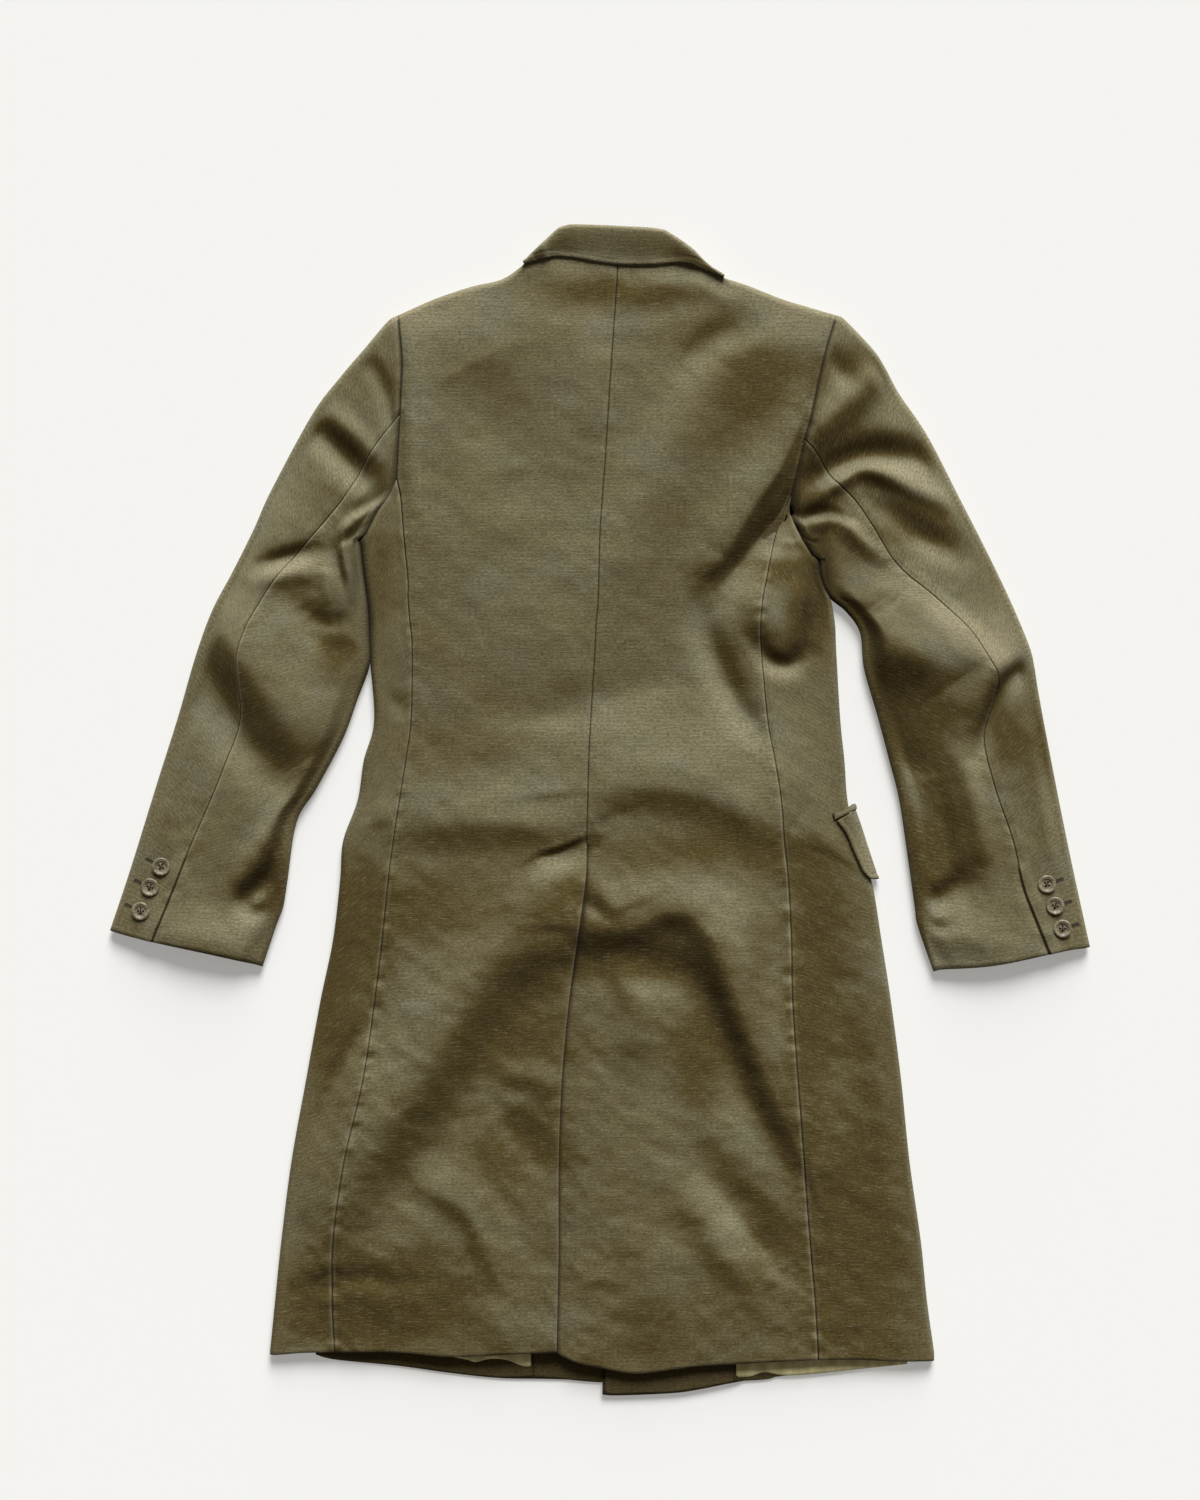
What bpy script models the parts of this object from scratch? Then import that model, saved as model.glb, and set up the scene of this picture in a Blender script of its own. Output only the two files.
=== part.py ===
"""A long canvas coat, laid flat on its front with its back up.

Tables are in millimetres: x to the right, y towards the collar, z up from the surface.
The body is one flattened tube and each sleeve another. Every panel is a stretch of the
tube's grid of points, given a wall, and stops half a seam gap short of its neighbour.
"""
import math

import bmesh
import bpy
import numpy as np

MM = 0.001
CLOTH = 1.6              # wall of the canvas
COLLAR_CLOTH = 1.4       # wall of each of the collar's two layers
LINING = 1.0             # wall of the satin lining
SEAM_GAP = 0.3           # between neighbouring pieces
LAYER_GAP = 0.4          # between a piece and the one that it lies on
EDGE_HEIGHT = 12.0       # height of the folded edges of body and sleeves
EDGE_INSET = 6.0         # how far the folded edge reaches past the flat of the top
ROWS_BELOW = 24          # rows from the hem to the underarm
BACK_COLUMNS = 9
SHOULDER_COLUMNS = 5
CENTRE_TURN = 320.0      # the back's rows are level here, where the armhole meets the side seam
SHOULDER_RISE = 80.0     # from the shoulder down to where the back has its full height
FOLD_FADE = 26.0         # from an edge in to where the folds have their full height
VENT_TOP = -30.0
VENT_LAP_COLUMNS = 2
FACING_HEIGHT = 55.0
TURNUP_HEIGHT = 38.0
LINING_HEIGHT = 62.0
STRIP_CLOTH = 1.2        # wall of the facings and turn-ups
BUTTON_RADIUS = 8.5
BUTTON_HEIGHT = 2.6
BUTTON_STEPS = 16        # flats round a button

# Body below the armholes, a row for each section from the hem up.
# Columns: y, left edge, left side seam, centre seam, right side seam, right edge, crown.
BODY_SECTIONS = [
    (-525, -320, -257, -42, 211, 324, 6),
    (-475, -315, -259, -41, 208, 317, 7),
    (-417, -309, -258, -40, 203, 311, 8),
    (-339, -299, -247, -40, 197, 300, 9),
    (-261, -285, -229, -37, 191, 292, 9),
    (-184, -271, -218, -30, 186, 282, 10),
    (-126, -259, -211, -22, 185, 273, 10),
    (-67, -252, -205, -14, 182, 263, 10),
    (-29, -249, -200, -13, 178, 248, 10),
    (10, -235, -194, -12, 175, 240, 9),
    (49, -229, -188, -11, 169, 237, 9),
    (88, -219, -183, -9, 162, 233, 9),
    (156, -224, -182, -5, 156, 229, 10),
    (180, -224, -184, -4, 155, 228, 10),
    (204, -226, -186, -2, 157, 224, 10),
]

# The same columns above that: each seam as (y, x) up to where it ends.
LEFT_EDGE_TOP = [(232, -230), (262, -233)]
LEFT_SEAM_TOP = [(222, -186), (264, -190), (301, -193), (321, -197)]
CENTRE_TOP = [(271, 0), (340, 5), (388, 8), (450, 12), (524, 17), (544, 17)]
RIGHT_SEAM_TOP = [(224, 161), (257, 168), (284, 176), (307, 186)]
RIGHT_EDGE_TOP = [(214, 219), (228, 214), (243, 212)]
CROWN_TOP = [(250, 10), (420, 8), (520, 4), (560, 3)]

# Armholes from the shoulder down to the underarm, cut where a seam meets them. The tip and
# the underarm are where the seam runs round the folded edges.
ARMHOLES = {
    "left": {
        "tip": (-196, 480),
        "to sleeve seam": [(-195, 474), (-192, 432), (-193, 407), (-194, 383)],
        "to side seam": [(-194, 383), (-196, 348), (-197, 321)],
        "to underarm": [(-197, 321), (-204, 306), (-215, 290), (-226, 268)],
        "underarm": (-233, 262),
    },
    "right": {
        "tip": (229, 480),
        "to sleeve seam": [(227, 474), (220, 451), (212, 418), (204, 380), (198, 359)],
        "to side seam": [(198, 359), (191, 328), (186, 307)],
        "to underarm": [(186, 307), (185, 290), (192, 270), (205, 247)],
        "underarm": (212, 243),
    },
}
RING_COLUMNS = (5, 3, 3)         # sleeve columns in those three stretches
BACK_SEAM = 5                    # the column of the sleeve's back seam
SIDE_SEAM = 8                    # the column where the body's side seam starts
FLAT_COLUMNS = (9, 8, 5, 2, 0)   # columns kept on the underside, from the front seam out

# Shoulder outline from the tip to the neck, then the neck seam under the collar.
SHOULDERS = {
    "left": [(-196, 480), (-160, 496), (-124, 508), (-95, 515), (-74, 529)],
    "right": [(229, 480), (202, 488), (176, 496), (143, 509), (118, 517)],
}
NECK_SEAMS = {
    "left": [(-74, 529), (-50, 541), (-23, 544), (17, 544)],
    "right": [(118, 517), (100, 530), (80, 540), (60, 543), (17, 544)],
}
HEMS = {
    "left side": [(-320, -527), (-290, -525), (-257, -524)],
    "left back": [(-257, -524), (-196, -524), (-151, -528), (-97, -526), (-42, -523)],
    "right back": [(-42, -525), (-21, -534), (2, -539), (38, -544), (98, -537), (211, -531)],
    "right side": [(211, -531), (246, -531), (291, -533), (324, -533)],
}

# Sleeve outlines from the armhole to the cuff.
SLEEVES = {
    "left": {
        "outer": [(-206, 474), (-229, 447), (-252, 420), (-279, 384), (-319, 310), (-336, 272),
                  (-357, 230), (-376, 194), (-392, 150), (-409, 91), (-428, 31), (-455, -56),
                  (-475, -116)],
        "seam": [(-194, 383), (-206, 369), (-222, 346), (-243, 310), (-260, 287), (-290, 252),
                 (-310, 229), (-328, 202), (-343, 174), (-351, 142), (-348, 90), (-364, 41),
                 (-378, 6), (-396, -35), (-413, -78), (-433, -127)],
        "inner": [(-234, 252), (-232, 232), (-228, 200), (-226, 172), (-226, 145), (-236, 105),
                  (-249, 70), (-275, 21), (-294, -11), (-303, -68), (-307, -93), (-314, -112),
                  (-327, -151)],
        "cuff outer": [(-475, -116), (-454, -122), (-433, -127)],
        "cuff inner": [(-433, -127), (-380, -138), (-327, -151)],
    },
    "right": {
        "outer": [(237, 476), (264, 448), (276, 430), (290, 404), (317, 364), (348, 304),
                  (375, 251), (398, 203), (416, 160), (421, 140), (425, 115), (435, 61),
                  (454, -35), (475, -132)],
        "seam": [(198, 359), (210, 346), (225, 322), (246, 301), (264, 275), (281, 246),
                 (297, 228), (317, 212), (335, 196), (358, 174), (377, 145), (385, 128),
                 (382, 105), (372, 68), (382, 21), (399, -29), (409, -73), (422, -107),
                 (435, -139)],
        "inner": [(215, 238), (217, 232), (218, 224), (224, 212), (231, 203), (241, 191),
                  (252, 172), (256, 137), (269, 91), (281, 46), (290, 10), (298, -43),
                  (305, -93), (308, -112), (323, -156)],
        "cuff outer": [(475, -132), (455, -135), (435, -139)],
        "cuff inner": [(435, -139), (380, -150), (323, -156)],
    },
}
SLEEVE_ROWS = 22
OUTER_LAG = 0.8                  # row spacing: under 1 starts wide, over 1 starts close together
SEAM_LAG = 0.75
INNER_LAG = 1.7
SLEEVE_SETTLE = 12               # how fast the rows lose the armhole's curve
SLEEVE_CROWN = 7.0
SLEEVE_FULL_WIDTH = 60.0         # narrower than this a sleeve has less crown
SLEEVE_FOLD_FADE = 20.0
SHARED_ROWS = 4                  # rows in which the sleeve's height leaves the body's

# Fronts below: the outer edge of each is the body's, the other is its front edge.
FRONTS = {
    "left": {
        "hem": [(-276, -528), (-257, -533), (-196, -539), (-145, -546), (-96, -551), (-44, -552),
                (62, -556)],
        "edge top": (47, 458),
        "neck": [(-73, 512), (-50, 490), (-10, 468), (47, 458)],
        "columns": (0, 0.25, 0.5, 0.75, 1),
    },
    "right": {
        "hem": [(247, -542), (177, -549), (129, -555), (98, -561), (69, -565), (7, -567),
                (3, -561)],
        "edge top": (-13, 458),
        "neck": [(116, 504), (95, 485), (50, 465), (-13, 458)],
        "columns": (0, 0.3, 0.58, 0.67, 0.84, 1),
    },
}
RAISED_FROM_COLUMN = 3           # the right front is lifted over the left one from here
RAISED_HEM_ROWS = 3              # these rows of it lie over the left front's facing too
HEM_STEPS = 100                  # fine steps along a front's hem, to cut at any share
SHOULDER_GAP = 4.0               # from the back's turned-under shoulder to the front

# Strips inside the hem: the lower edge of each, from left to right.
LEFT_STRIPS = {
    "facing": [(-64, -550), (-44, -551), (0, -555), (59, -555)],
    "turnup": [(-272, -528), (-257, -532), (-196, -538), (-145, -545), (-96, -550), (-66, -549)],
    "lining": [(-268, -523), (-181, -525), (-133, -532), (-121, -535), (-107, -532), (-91, -533),
               (-75, -539), (-67, -539)],
}
RIGHT_STRIPS = {
    "facing": [(5, -562), (9, -566), (38, -565), (69, -564), (98, -560), (129, -554)],
    "turnup": [(131, -554), (162, -552), (177, -548), (210, -546), (243, -542)],
    "lining": [(132, -550), (146, -549), (160, -545), (177, -547), (202, -545), (240, -540)],
}

# Collar, from its left tip to its right one.
COLLAR_TOP = [(-70, 536), (-51, 554), (-38, 565), (-30, 567), (11, 566), (55, 563), (69, 558),
              (89, 544), (104, 530), (118, 520)]
COLLAR_LOW = [(-65, 532), (-46, 536), (-27, 535), (-4, 531), (20, 528), (50, 528), (73, 530),
              (88, 529), (101, 523), (113, 515)]
COLLAR_SEAT = [(-72, 534), (-50, 543), (-23, 546), (17, 546), (60, 546), (82, 543), (101, 533),
               (118, 520)]
COLLAR_COLUMNS = 14
COLLAR_ROLL = 4.8                # outer radius of the roll at the fold
ROLL_SHARE = 0.75                # the most of the fall's depth that the roll can take
COLLAR_SINK = 1.0                # the roll reaches this far below the back's outer face
SINK_START = 0.3                 # share of the stand's length at which that begins
FALL_ROWS = (0, 0.35, 0.7, 1)    # rows of the fall, from its lower edge to the roll
STAND_LENGTH = 6.0               # nearer the tips than this the collar lies on the back
COLLAR_ROLL_ROWS = 6
COLLAR_SLOPE = 0.4               # steepest fall from the roll to the collar's edge

FOLD_STEPS = 12
FOLD_END = 0.08                  # share of its fade that a fold leaves out at each end

# Folds: start, middle and end of the line, half width, height (below zero for a trough).
BODY_FOLDS = [
    ("drape from right armhole", (184, 346), (150, 285), (101, 236), 15, 5),
    ("trough by right seam", (109, 217), (125, 150), (154, 83), 13, -4),
    ("shoulder blade", (122, 455), (150, 435), (173, 400), 20, -3),
    ("waist swell", (60, 160), (74, 110), (70, 50), 24, 3),
    ("side pouch", (188, 240), (194, 190), (184, 150), 14, 4),
    ("seat", (0, -2), (80, 0), (165, -28), 20, -3),
    ("arch over the vent", (-18, -122), (50, -88), (105, -126), 15, -5),
    ("right leg of the arch", (105, -126), (132, -215), (182, -347), 16, -5),
    ("ridge beside the arch", (113, -87), (145, -160), (167, -227), 15, 4),
    ("flat inside the arch", (-2, -150), (14, -200), (30, -253), 20, 3),
    ("left skirt, upper", (-28, -138), (-95, -155), (-125, -227), 16, -5),
    ("left skirt, lower", (-125, -227), (-180, -295), (-248, -377), 17, -4),
    ("left skirt swell", (-45, -180), (-55, -230), (-60, -300), 20, 3),
    ("left blade", (-150, 470), (-140, 430), (-165, 380), 20, 2),
    ("hem swell left", (-170, -440), (-175, -480), (-180, -524), 26, 2),
    ("hem swell right", (120, -420), (125, -480), (130, -535), 28, 2),
]
SLEEVE_FOLDS = {
    "left": [
        ("cap", (-273, 382), (-249, 360), (-235, 335), 11, -4),
        ("upper arm", (-328, 240), (-305, 236), (-281, 239), 11, -3),
        ("underarm", (-251, 261), (-230, 284), (-212, 297), 9, -4),
        ("pouch", (-268, 262), (-262, 225), (-256, 196), 13, 4),
        ("elbow", (-384, 166), (-340, 100), (-286, 43), 18, -4),
        ("forearm", (-297, 31), (-330, -20), (-348, -70), 14, 4),
    ],
    "right": [
        ("cap ridge", (273, 428), (240, 395), (208, 362), 15, 4),
        ("cap trough", (308, 357), (264, 366), (230, 344), 11, -4),
        ("upper arm ridge", (317, 306), (257, 337), (200, 292), 13, 4),
        ("underarm", (192, 285), (228, 294), (242, 278), 9, -5),
        ("upper arm", (317, 284), (340, 270), (366, 251), 12, -3),
        ("inner arm", (256, 172), (292, 156), (328, 137), 14, -3),
        ("forearm", (285, 43), (313, 0), (314, -80), 20, -4),
        ("elbow", (420, 147), (402, 126), (385, 105), 10, -3),
    ],
}

# Right hip pocket: rear and outer edges of the flap, and of the jet above it.
FLAP_REAR = [(229, -10), (239, -24), (249, -46), (261, -65)]
FLAP_OUTER = [(248, 1), (254, -18), (262, -42), (270, -66)]
JET_REAR = [(225, -3), (227, -9)]
JET_OUTER = [(248, 7), (249, 1.6)]
FLAP_TURN = math.radians(135)
FLAP_COLUMNS = 7

# Half section of a button from its middle: distance out and height.
BUTTON_PROFILE = [(0, 1.5), (4.6, 1.5), (6.2, BUTTON_HEIGHT), (7.6, BUTTON_HEIGHT),
                  (BUTTON_RADIUS, 1.6), (7.4, 0), (0, 0)]
FACET_STEPS = 6                  # fine steps across a sleeve's facet, to find the height under one

# Cuff buttons, from the elbow side down.
BUTTONS = {
    "left": [(-424, -54), (-435, -74), (-444, -97)],
    "right": [(432, -71), (440, -92), (447, -114)],
}

COLOURS = {
    "canvas": ((0.135, 0.115, 0.062), 0.9),
    "canvas, inside": ((0.085, 0.068, 0.032), 0.92),
    "satin": ((0.35, 0.30, 0.12), 0.45),
    "horn": ((0.16, 0.14, 0.10), 0.35),
}


def ease(value):
    """0 below 0, 1 above 1, and a smooth step between."""
    value = np.clip(value, 0, 1)
    return value * value * (3 - 2 * value)


def trace(points, count, lag=1.0):
    """A smooth line through the points, as count steps; a lag over 1 makes the first ones short."""
    points = np.array(points, float)
    shares = np.linspace(0, 1, count + 1) ** lag
    if len(points) == 2:
        return points[0] + shares[:, None] * (points[1] - points[0])
    ends = np.vstack([2 * points[0] - points[1], points, 2 * points[-1] - points[-2]])
    steps = np.linspace(0, 1, 16, endpoint=False)[:, None]
    line = []
    for before, start, end, after in zip(ends, ends[1:], ends[2:], ends[3:]):
        line.append(0.5 * (2 * start + (end - before) * steps
                           + (2 * before - 5 * start + 4 * end - after) * steps ** 2
                           + (3 * start - before - 3 * end + after) * steps ** 3))
    line = np.vstack(line + [points[-1:]])
    length = np.concatenate([[0], np.cumsum(np.linalg.norm(np.diff(line, axis=0), axis=1))])
    wanted = shares * length[-1]
    return np.column_stack([np.interp(wanted, length, line[:, axis]) for axis in (0, 1)])


def inset(line, amount):
    """The line moved sideways, to its right for a positive amount."""
    along = np.gradient(line, axis=0)
    along /= np.linalg.norm(along, axis=1)[:, None]
    return line + amount * np.column_stack([along[:, 1], -along[:, 0]])


def column(place, top):
    """One column of the body's table with its upper stretch, as (y, x) pairs."""
    return [(row[0], row[place]) for row in BODY_SECTIONS] + top


def at(pairs, y):
    """The column's x at a height y."""
    levels, places = zip(*pairs)
    return np.interp(y, levels, places)


LEFT_EDGE = column(1, LEFT_EDGE_TOP)
LEFT_SEAM = column(2, LEFT_SEAM_TOP)
CENTRE = column(3, CENTRE_TOP)
RIGHT_SEAM = column(4, RIGHT_SEAM_TOP)
RIGHT_EDGE = column(5, RIGHT_EDGE_TOP)
CROWN = column(6, CROWN_TOP)


def armhole_line(side):
    parts = [ARMHOLES[side][key] for key in ("to sleeve seam", "to side seam", "to underarm")]
    lines = [trace(part, count) for part, count in zip(parts, RING_COLUMNS)]
    line = np.vstack([lines[0], lines[1][1:], lines[2][1:]])
    return line, np.array(ARMHOLES[side]["tip"]), np.array(ARMHOLES[side]["underarm"])


ARMHOLE = {side: armhole_line(side) for side in ("left", "right")}


def outline(side, y):
    """The body's outline: its edge below the underarm and the armhole above."""
    edge = LEFT_EDGE if side == "left" else RIGHT_EDGE
    inward = EDGE_INSET if side == "left" else -EDGE_INSET
    hole = ARMHOLE[side][0][::-1]
    levels = [row[0] for row in edge[:-1]] + list(hole[:, 1])
    places = [row[1] + inward for row in edge[:-1]] + list(hole[:, 0])
    return np.interp(y, levels, places)


def top_line(x):
    """Height y of the shoulders and the neck seam at x."""
    points = SHOULDERS["left"] + NECK_SEAMS["left"][1:] + NECK_SEAMS["right"][-2::-1]
    points = points + SHOULDERS["right"][-2::-1]
    places, levels = zip(*points)
    return np.interp(x, places, levels)


def fold_relief(folds, x, y):
    """Sum of the folds at each point: soft ridges and troughs that fade at both ends."""
    relief = np.zeros_like(x)
    steps = np.linspace(0, 1, FOLD_STEPS + 1)
    for _, start, middle, end, width, height in folds:
        start, middle, end = (np.array(point, float) for point in (start, middle, end))
        control = 2 * middle - (start + end) / 2
        line = ((1 - steps)[:, None] ** 2 * start + (2 * steps * (1 - steps))[:, None] * control
                + (steps ** 2)[:, None] * end)
        nearest = np.full(x.shape, np.inf)
        place = np.zeros_like(x)
        for first, second, begin in zip(line, line[1:], steps):
            run = second - first
            share = ((x - first[0]) * run[0] + (y - first[1]) * run[1]) / (run @ run)
            share = np.clip(share, 0, 1)
            gap = np.hypot(x - first[0] - share * run[0], y - first[1] - share * run[1])
            closer = gap < nearest
            nearest = np.where(closer, gap, nearest)
            place = np.where(closer, begin + share / FOLD_STEPS, place)
        taper = np.sqrt(np.sin(np.pi * (FOLD_END + (1 - 2 * FOLD_END) * place)))
        relief += height * taper * np.exp(-(nearest / width) ** 2)
    return relief


def back_height(x, y):
    """Height of the back's outer face above the surface that the coat lies on."""
    left, right = outline("left", y), outline("right", y)
    across = np.clip((x - left) / (right - left), 0, 1)
    below_top = top_line(x) - y
    crown = np.interp(y, *zip(*CROWN)) * (1 - (2 * across - 1) ** 2) * ease(below_top / SHOULDER_RISE)
    near_side = np.where(y < ARMHOLE["left"][2][1], np.minimum(x - left, right - x), FOLD_FADE)
    fade = ease(near_side / FOLD_FADE) * ease(below_top / FOLD_FADE)
    return EDGE_HEIGHT + crown + fade * fold_relief(BODY_FOLDS, x, y)


def patch(left, right, bottom, top, shares=None, settle=3):
    """A grid in plan between four boundary lines, rows from bottom to top."""
    rows, columns = len(left), len(bottom)
    across = np.array(shares if shares is not None else np.linspace(0, 1, columns))
    across = across[None, :, None]
    up = np.linspace(0, 1, rows)[:, None, None]
    grid = (1 - across) * left[:, None] + across * right[:, None]
    low = bottom - ((1 - across[0]) * bottom[0] + across[0] * bottom[-1])
    high = top - ((1 - across[0]) * top[0] + across[0] * top[-1])
    return grid + (1 - up) ** settle * low[None] + up ** 2 * high[None]


def edge_arc(flat, rim, turn):
    """A point on the folded edge: flat is where the top ends, rim the outermost place."""
    middle = flat[..., 2] / 2
    plan = flat[..., :2] + (rim - flat[..., :2]) * math.sin(turn)
    return np.concatenate([plan, (middle * (1 + math.cos(turn)))[..., None]], axis=-1)


def lifted(plan, height):
    return np.concatenate([plan, np.asarray(height)[..., None]], axis=-1)


def on_floor(plan):
    return lifted(plan[..., :2], np.zeros(plan.shape[:-1]))


ARC_TURNS = (math.pi / 3, 2 * math.pi / 3)
UNDER_SEAM_COLUMN = 2            # the side's column under which the front begins
SHARED_FROM = 0.5                # two normals closer than this are made one


def unit(vectors):
    length = np.linalg.norm(vectors, axis=-1, keepdims=True)
    return vectors / np.where(length > 0, length, 1)


def normals(grid, closed=False):
    """Outward unit normals of a grid of points; points that are not there hold nan."""
    def difference(axis, wraps):
        forward = np.roll(grid, -1, axis) - grid
        backward = grid - np.roll(grid, 1, axis)
        if wraps:
            forward[:, -1] = grid[:, 1] - grid[:, -1]
            backward[:, 0] = grid[:, 0] - grid[:, -2]
        else:
            index = [slice(None)] * 3
            index[axis] = -1
            forward[tuple(index)] = np.nan
            index[axis] = 0
            backward[tuple(index)] = np.nan
        forward = np.where(np.isnan(forward), backward, forward)
        backward = np.where(np.isnan(backward), forward, backward)
        return unit(forward) + unit(backward)
    return unit(np.cross(difference(1, closed), difference(0, False)))


def pull_in(grid, sides):
    """Moves the named sides of a grid half a seam gap towards their neighbours."""
    grid = grid.copy()
    rows = {"bottom": (0, 1), "top": (-1, -2)}
    columns = {"left": (0, 1), "right": (-1, -2)}
    for side in sides:
        if side in rows:
            edge, inner = rows[side]
            step = grid[inner] - grid[edge]
            size = np.linalg.norm(step, axis=1, keepdims=True)
            grid[edge] += np.where(size > 0, step / np.maximum(size, 1e-6), 0) * SEAM_GAP / 2
        else:
            edge, inner = columns[side]
            step = grid[:, inner] - grid[:, edge]
            size = np.linalg.norm(step, axis=1, keepdims=True)
            grid[:, edge] += np.where(size > 0, step / np.maximum(size, 1e-6), 0) * SEAM_GAP / 2
    return grid


def material(name):
    if name in bpy.data.materials:
        return bpy.data.materials[name]
    colour, roughness = COLOURS[name]
    made = bpy.data.materials.new(name)
    made.use_nodes = True
    shader = made.node_tree.nodes["Principled BSDF"]
    shader.inputs["Base Color"].default_value = (*colour, 1)
    shader.inputs["Roughness"].default_value = roughness
    shader.inputs["Metallic"].default_value = 0
    return made


def finish(name, mesh, finish_name, coat):
    made = bpy.data.objects.new(name, mesh)
    coat.objects.link(made)
    mesh.materials.append(material(finish_name))
    return made


def wall(name, outer, inner, finish_name, coat):
    """A closed sheet between two grids of points, over the cells whose corners are there."""
    work = bmesh.new()
    there = ~np.isnan(outer[..., 0]) & ~np.isnan(inner[..., 0])
    vertices = {}
    edges = {}

    def vertex(row, place, layer):
        key = (row, place, layer)
        if key not in vertices:
            point = (outer if layer == 0 else inner)[row, place] * MM
            vertices[key] = work.verts.new(point)
        return vertices[key]

    for row in range(outer.shape[0] - 1):
        for place in range(outer.shape[1] - 1):
            corners = [(row, place), (row, place + 1), (row + 1, place + 1), (row + 1, place)]
            if not all(there[corner] for corner in corners):
                continue
            for half in (corners[:3], [corners[0], corners[2], corners[3]]):
                work.faces.new([vertex(*corner, 0) for corner in half])
                work.faces.new([vertex(*corner, 1) for corner in reversed(half)])
            for start, end in zip(corners, corners[1:] + corners[:1]):
                if (end, start) in edges:
                    del edges[(end, start)]
                else:
                    edges[(start, end)] = True
    for start, end in edges:
        work.faces.new([vertex(*end, 0), vertex(*start, 0), vertex(*start, 1), vertex(*end, 1)])
    bmesh.ops.recalc_face_normals(work, faces=work.faces)
    mesh = bpy.data.meshes.new(name)
    work.to_mesh(mesh)
    work.free()
    mesh.shade_smooth()
    return finish(name, mesh, finish_name, coat)


def cloth_wall(name, grid, normal, sides, finish_name, coat, offset=0.0, thickness=CLOTH):
    """A panel: its outer face is the grid moved in by offset, its wall goes inwards."""
    grid = pull_in(grid, sides)
    return wall(name, grid - offset * normal, grid - (offset + thickness) * normal,
                finish_name, coat)


def body_grid():
    """The body's tube as one grid: left under seam, round the left edge, across the back,
    round the right edge, right under seam. Rows go from the hem to the shoulder's underside."""
    below = np.linspace(0, 1, ROWS_BELOW + 1)
    rows_above = sum(RING_COLUMNS[:2])

    def seam_line(pairs, bottom, top):
        levels = bottom + below * (top - bottom)
        return np.column_stack([at(pairs, levels), levels])

    plans = {}
    sides = {}
    for side in ("left", "right"):
        hole, _, underarm = ARMHOLE[side]
        edge_pairs = LEFT_EDGE if side == "left" else RIGHT_EDGE
        seam_pairs = LEFT_SEAM if side == "left" else RIGHT_SEAM
        side_hem = HEMS[side + " side"]
        rim_hem = side_hem[0] if side == "left" else side_hem[-1]
        seam_hem = side_hem[-1] if side == "left" else side_hem[0]
        rim = seam_line(edge_pairs, rim_hem[1], underarm[1])
        rim[-1] = underarm
        flat = rim + np.array([EDGE_INSET if side == "left" else -EDGE_INSET, 0])
        flat[-1] = hole[-1]
        seam = seam_line(seam_pairs, seam_hem[1], hole[SIDE_SEAM][1])
        seam[-1] = hole[SIDE_SEAM]
        columns = RING_COLUMNS[2]
        low = trace([flat[0], seam[0]], columns)
        plan = patch(flat, seam, low, hole[:SIDE_SEAM - 1:-1])
        height = back_height(plan[..., 0], plan[..., 1])
        top = lifted(plan, height)
        arcs = [edge_arc(top[:, 0], rim, turn)[:, None] for turn in ARC_TURNS]
        under = on_floor(plan)[:, [UNDER_SEAM_COLUMN, 0]]
        strip = np.concatenate([under, arcs[1], arcs[0], top], axis=1)
        sides[side] = strip
        plans[side] = seam

    backs = {}
    for side in ("left", "right"):
        hole = ARMHOLE[side][0]
        outer = np.vstack([plans[side], hole[SIDE_SEAM - 1::-1]])
        hem = trace(HEMS[side + " back"], BACK_COLUMNS)
        if side == "right":
            hem = hem[::-1]
        low_levels = hem[-1][1] + below * (CENTRE_TURN - hem[-1][1])
        high_levels = np.linspace(CENTRE_TURN, NECK_SEAMS[side][-1][1], rows_above + 1)[1:]
        levels = np.concatenate([low_levels, high_levels])
        centre = np.column_stack([at(CENTRE, levels), levels])
        centre[-1] = NECK_SEAMS[side][-1]
        shoulder = trace(SHOULDERS[side], SHOULDER_COLUMNS)
        away = EDGE_INSET if side == "left" else -EDGE_INSET
        flat_shoulder = inset(shoulder, away)
        flat_shoulder[0] = hole[0]
        neck = trace(NECK_SEAMS[side], BACK_COLUMNS - SHOULDER_COLUMNS)[1:]
        plan = patch(outer, centre, hem, np.vstack([flat_shoulder, neck]))
        top = lifted(plan, back_height(plan[..., 0], plan[..., 1]))
        tail = np.full((3, BACK_COLUMNS + 1, 3), np.nan)
        for row, turn in enumerate(ARC_TURNS + (math.pi,)):
            tail[row, :SHOULDER_COLUMNS + 1] = edge_arc(top[-1, :SHOULDER_COLUMNS + 1], shoulder, turn)
        backs[side] = np.concatenate([top, tail], axis=0)

    total = backs["left"].shape[0]
    blank = np.full((total - ROWS_BELOW - 1, sides["left"].shape[1], 3), np.nan)
    left = np.concatenate([sides["left"], blank], axis=0)
    right = np.concatenate([sides["right"], blank], axis=0)[:, ::-1]
    grid = np.concatenate([left[:, :-1], backs["left"][:, :-1], backs["right"][:, ::-1], right[:, 1:]],
                          axis=1)
    return grid


SIDE_POINTS = 2 + len(ARC_TURNS) + RING_COLUMNS[2] + 1
LEFT_SEAM_COLUMN = SIDE_POINTS - 1
CENTRE_COLUMN = LEFT_SEAM_COLUMN + BACK_COLUMNS
RIGHT_SEAM_COLUMN = CENTRE_COLUMN + BACK_COLUMNS


def ring_places(side):
    """Where the body's grid holds the armhole, in the order of the sleeve's columns."""
    seam = LEFT_SEAM_COLUMN if side == "left" else RIGHT_SEAM_COLUMN
    step = -1 if side == "left" else 1
    tail_row = ROWS_BELOW + SIDE_SEAM + len(ARC_TURNS) + 1
    places = [(row, seam) for row in range(tail_row, ROWS_BELOW - 1, -1)]
    places += [(ROWS_BELOW, seam + step * count) for count in range(1, SIDE_POINTS)]
    return places


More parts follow.
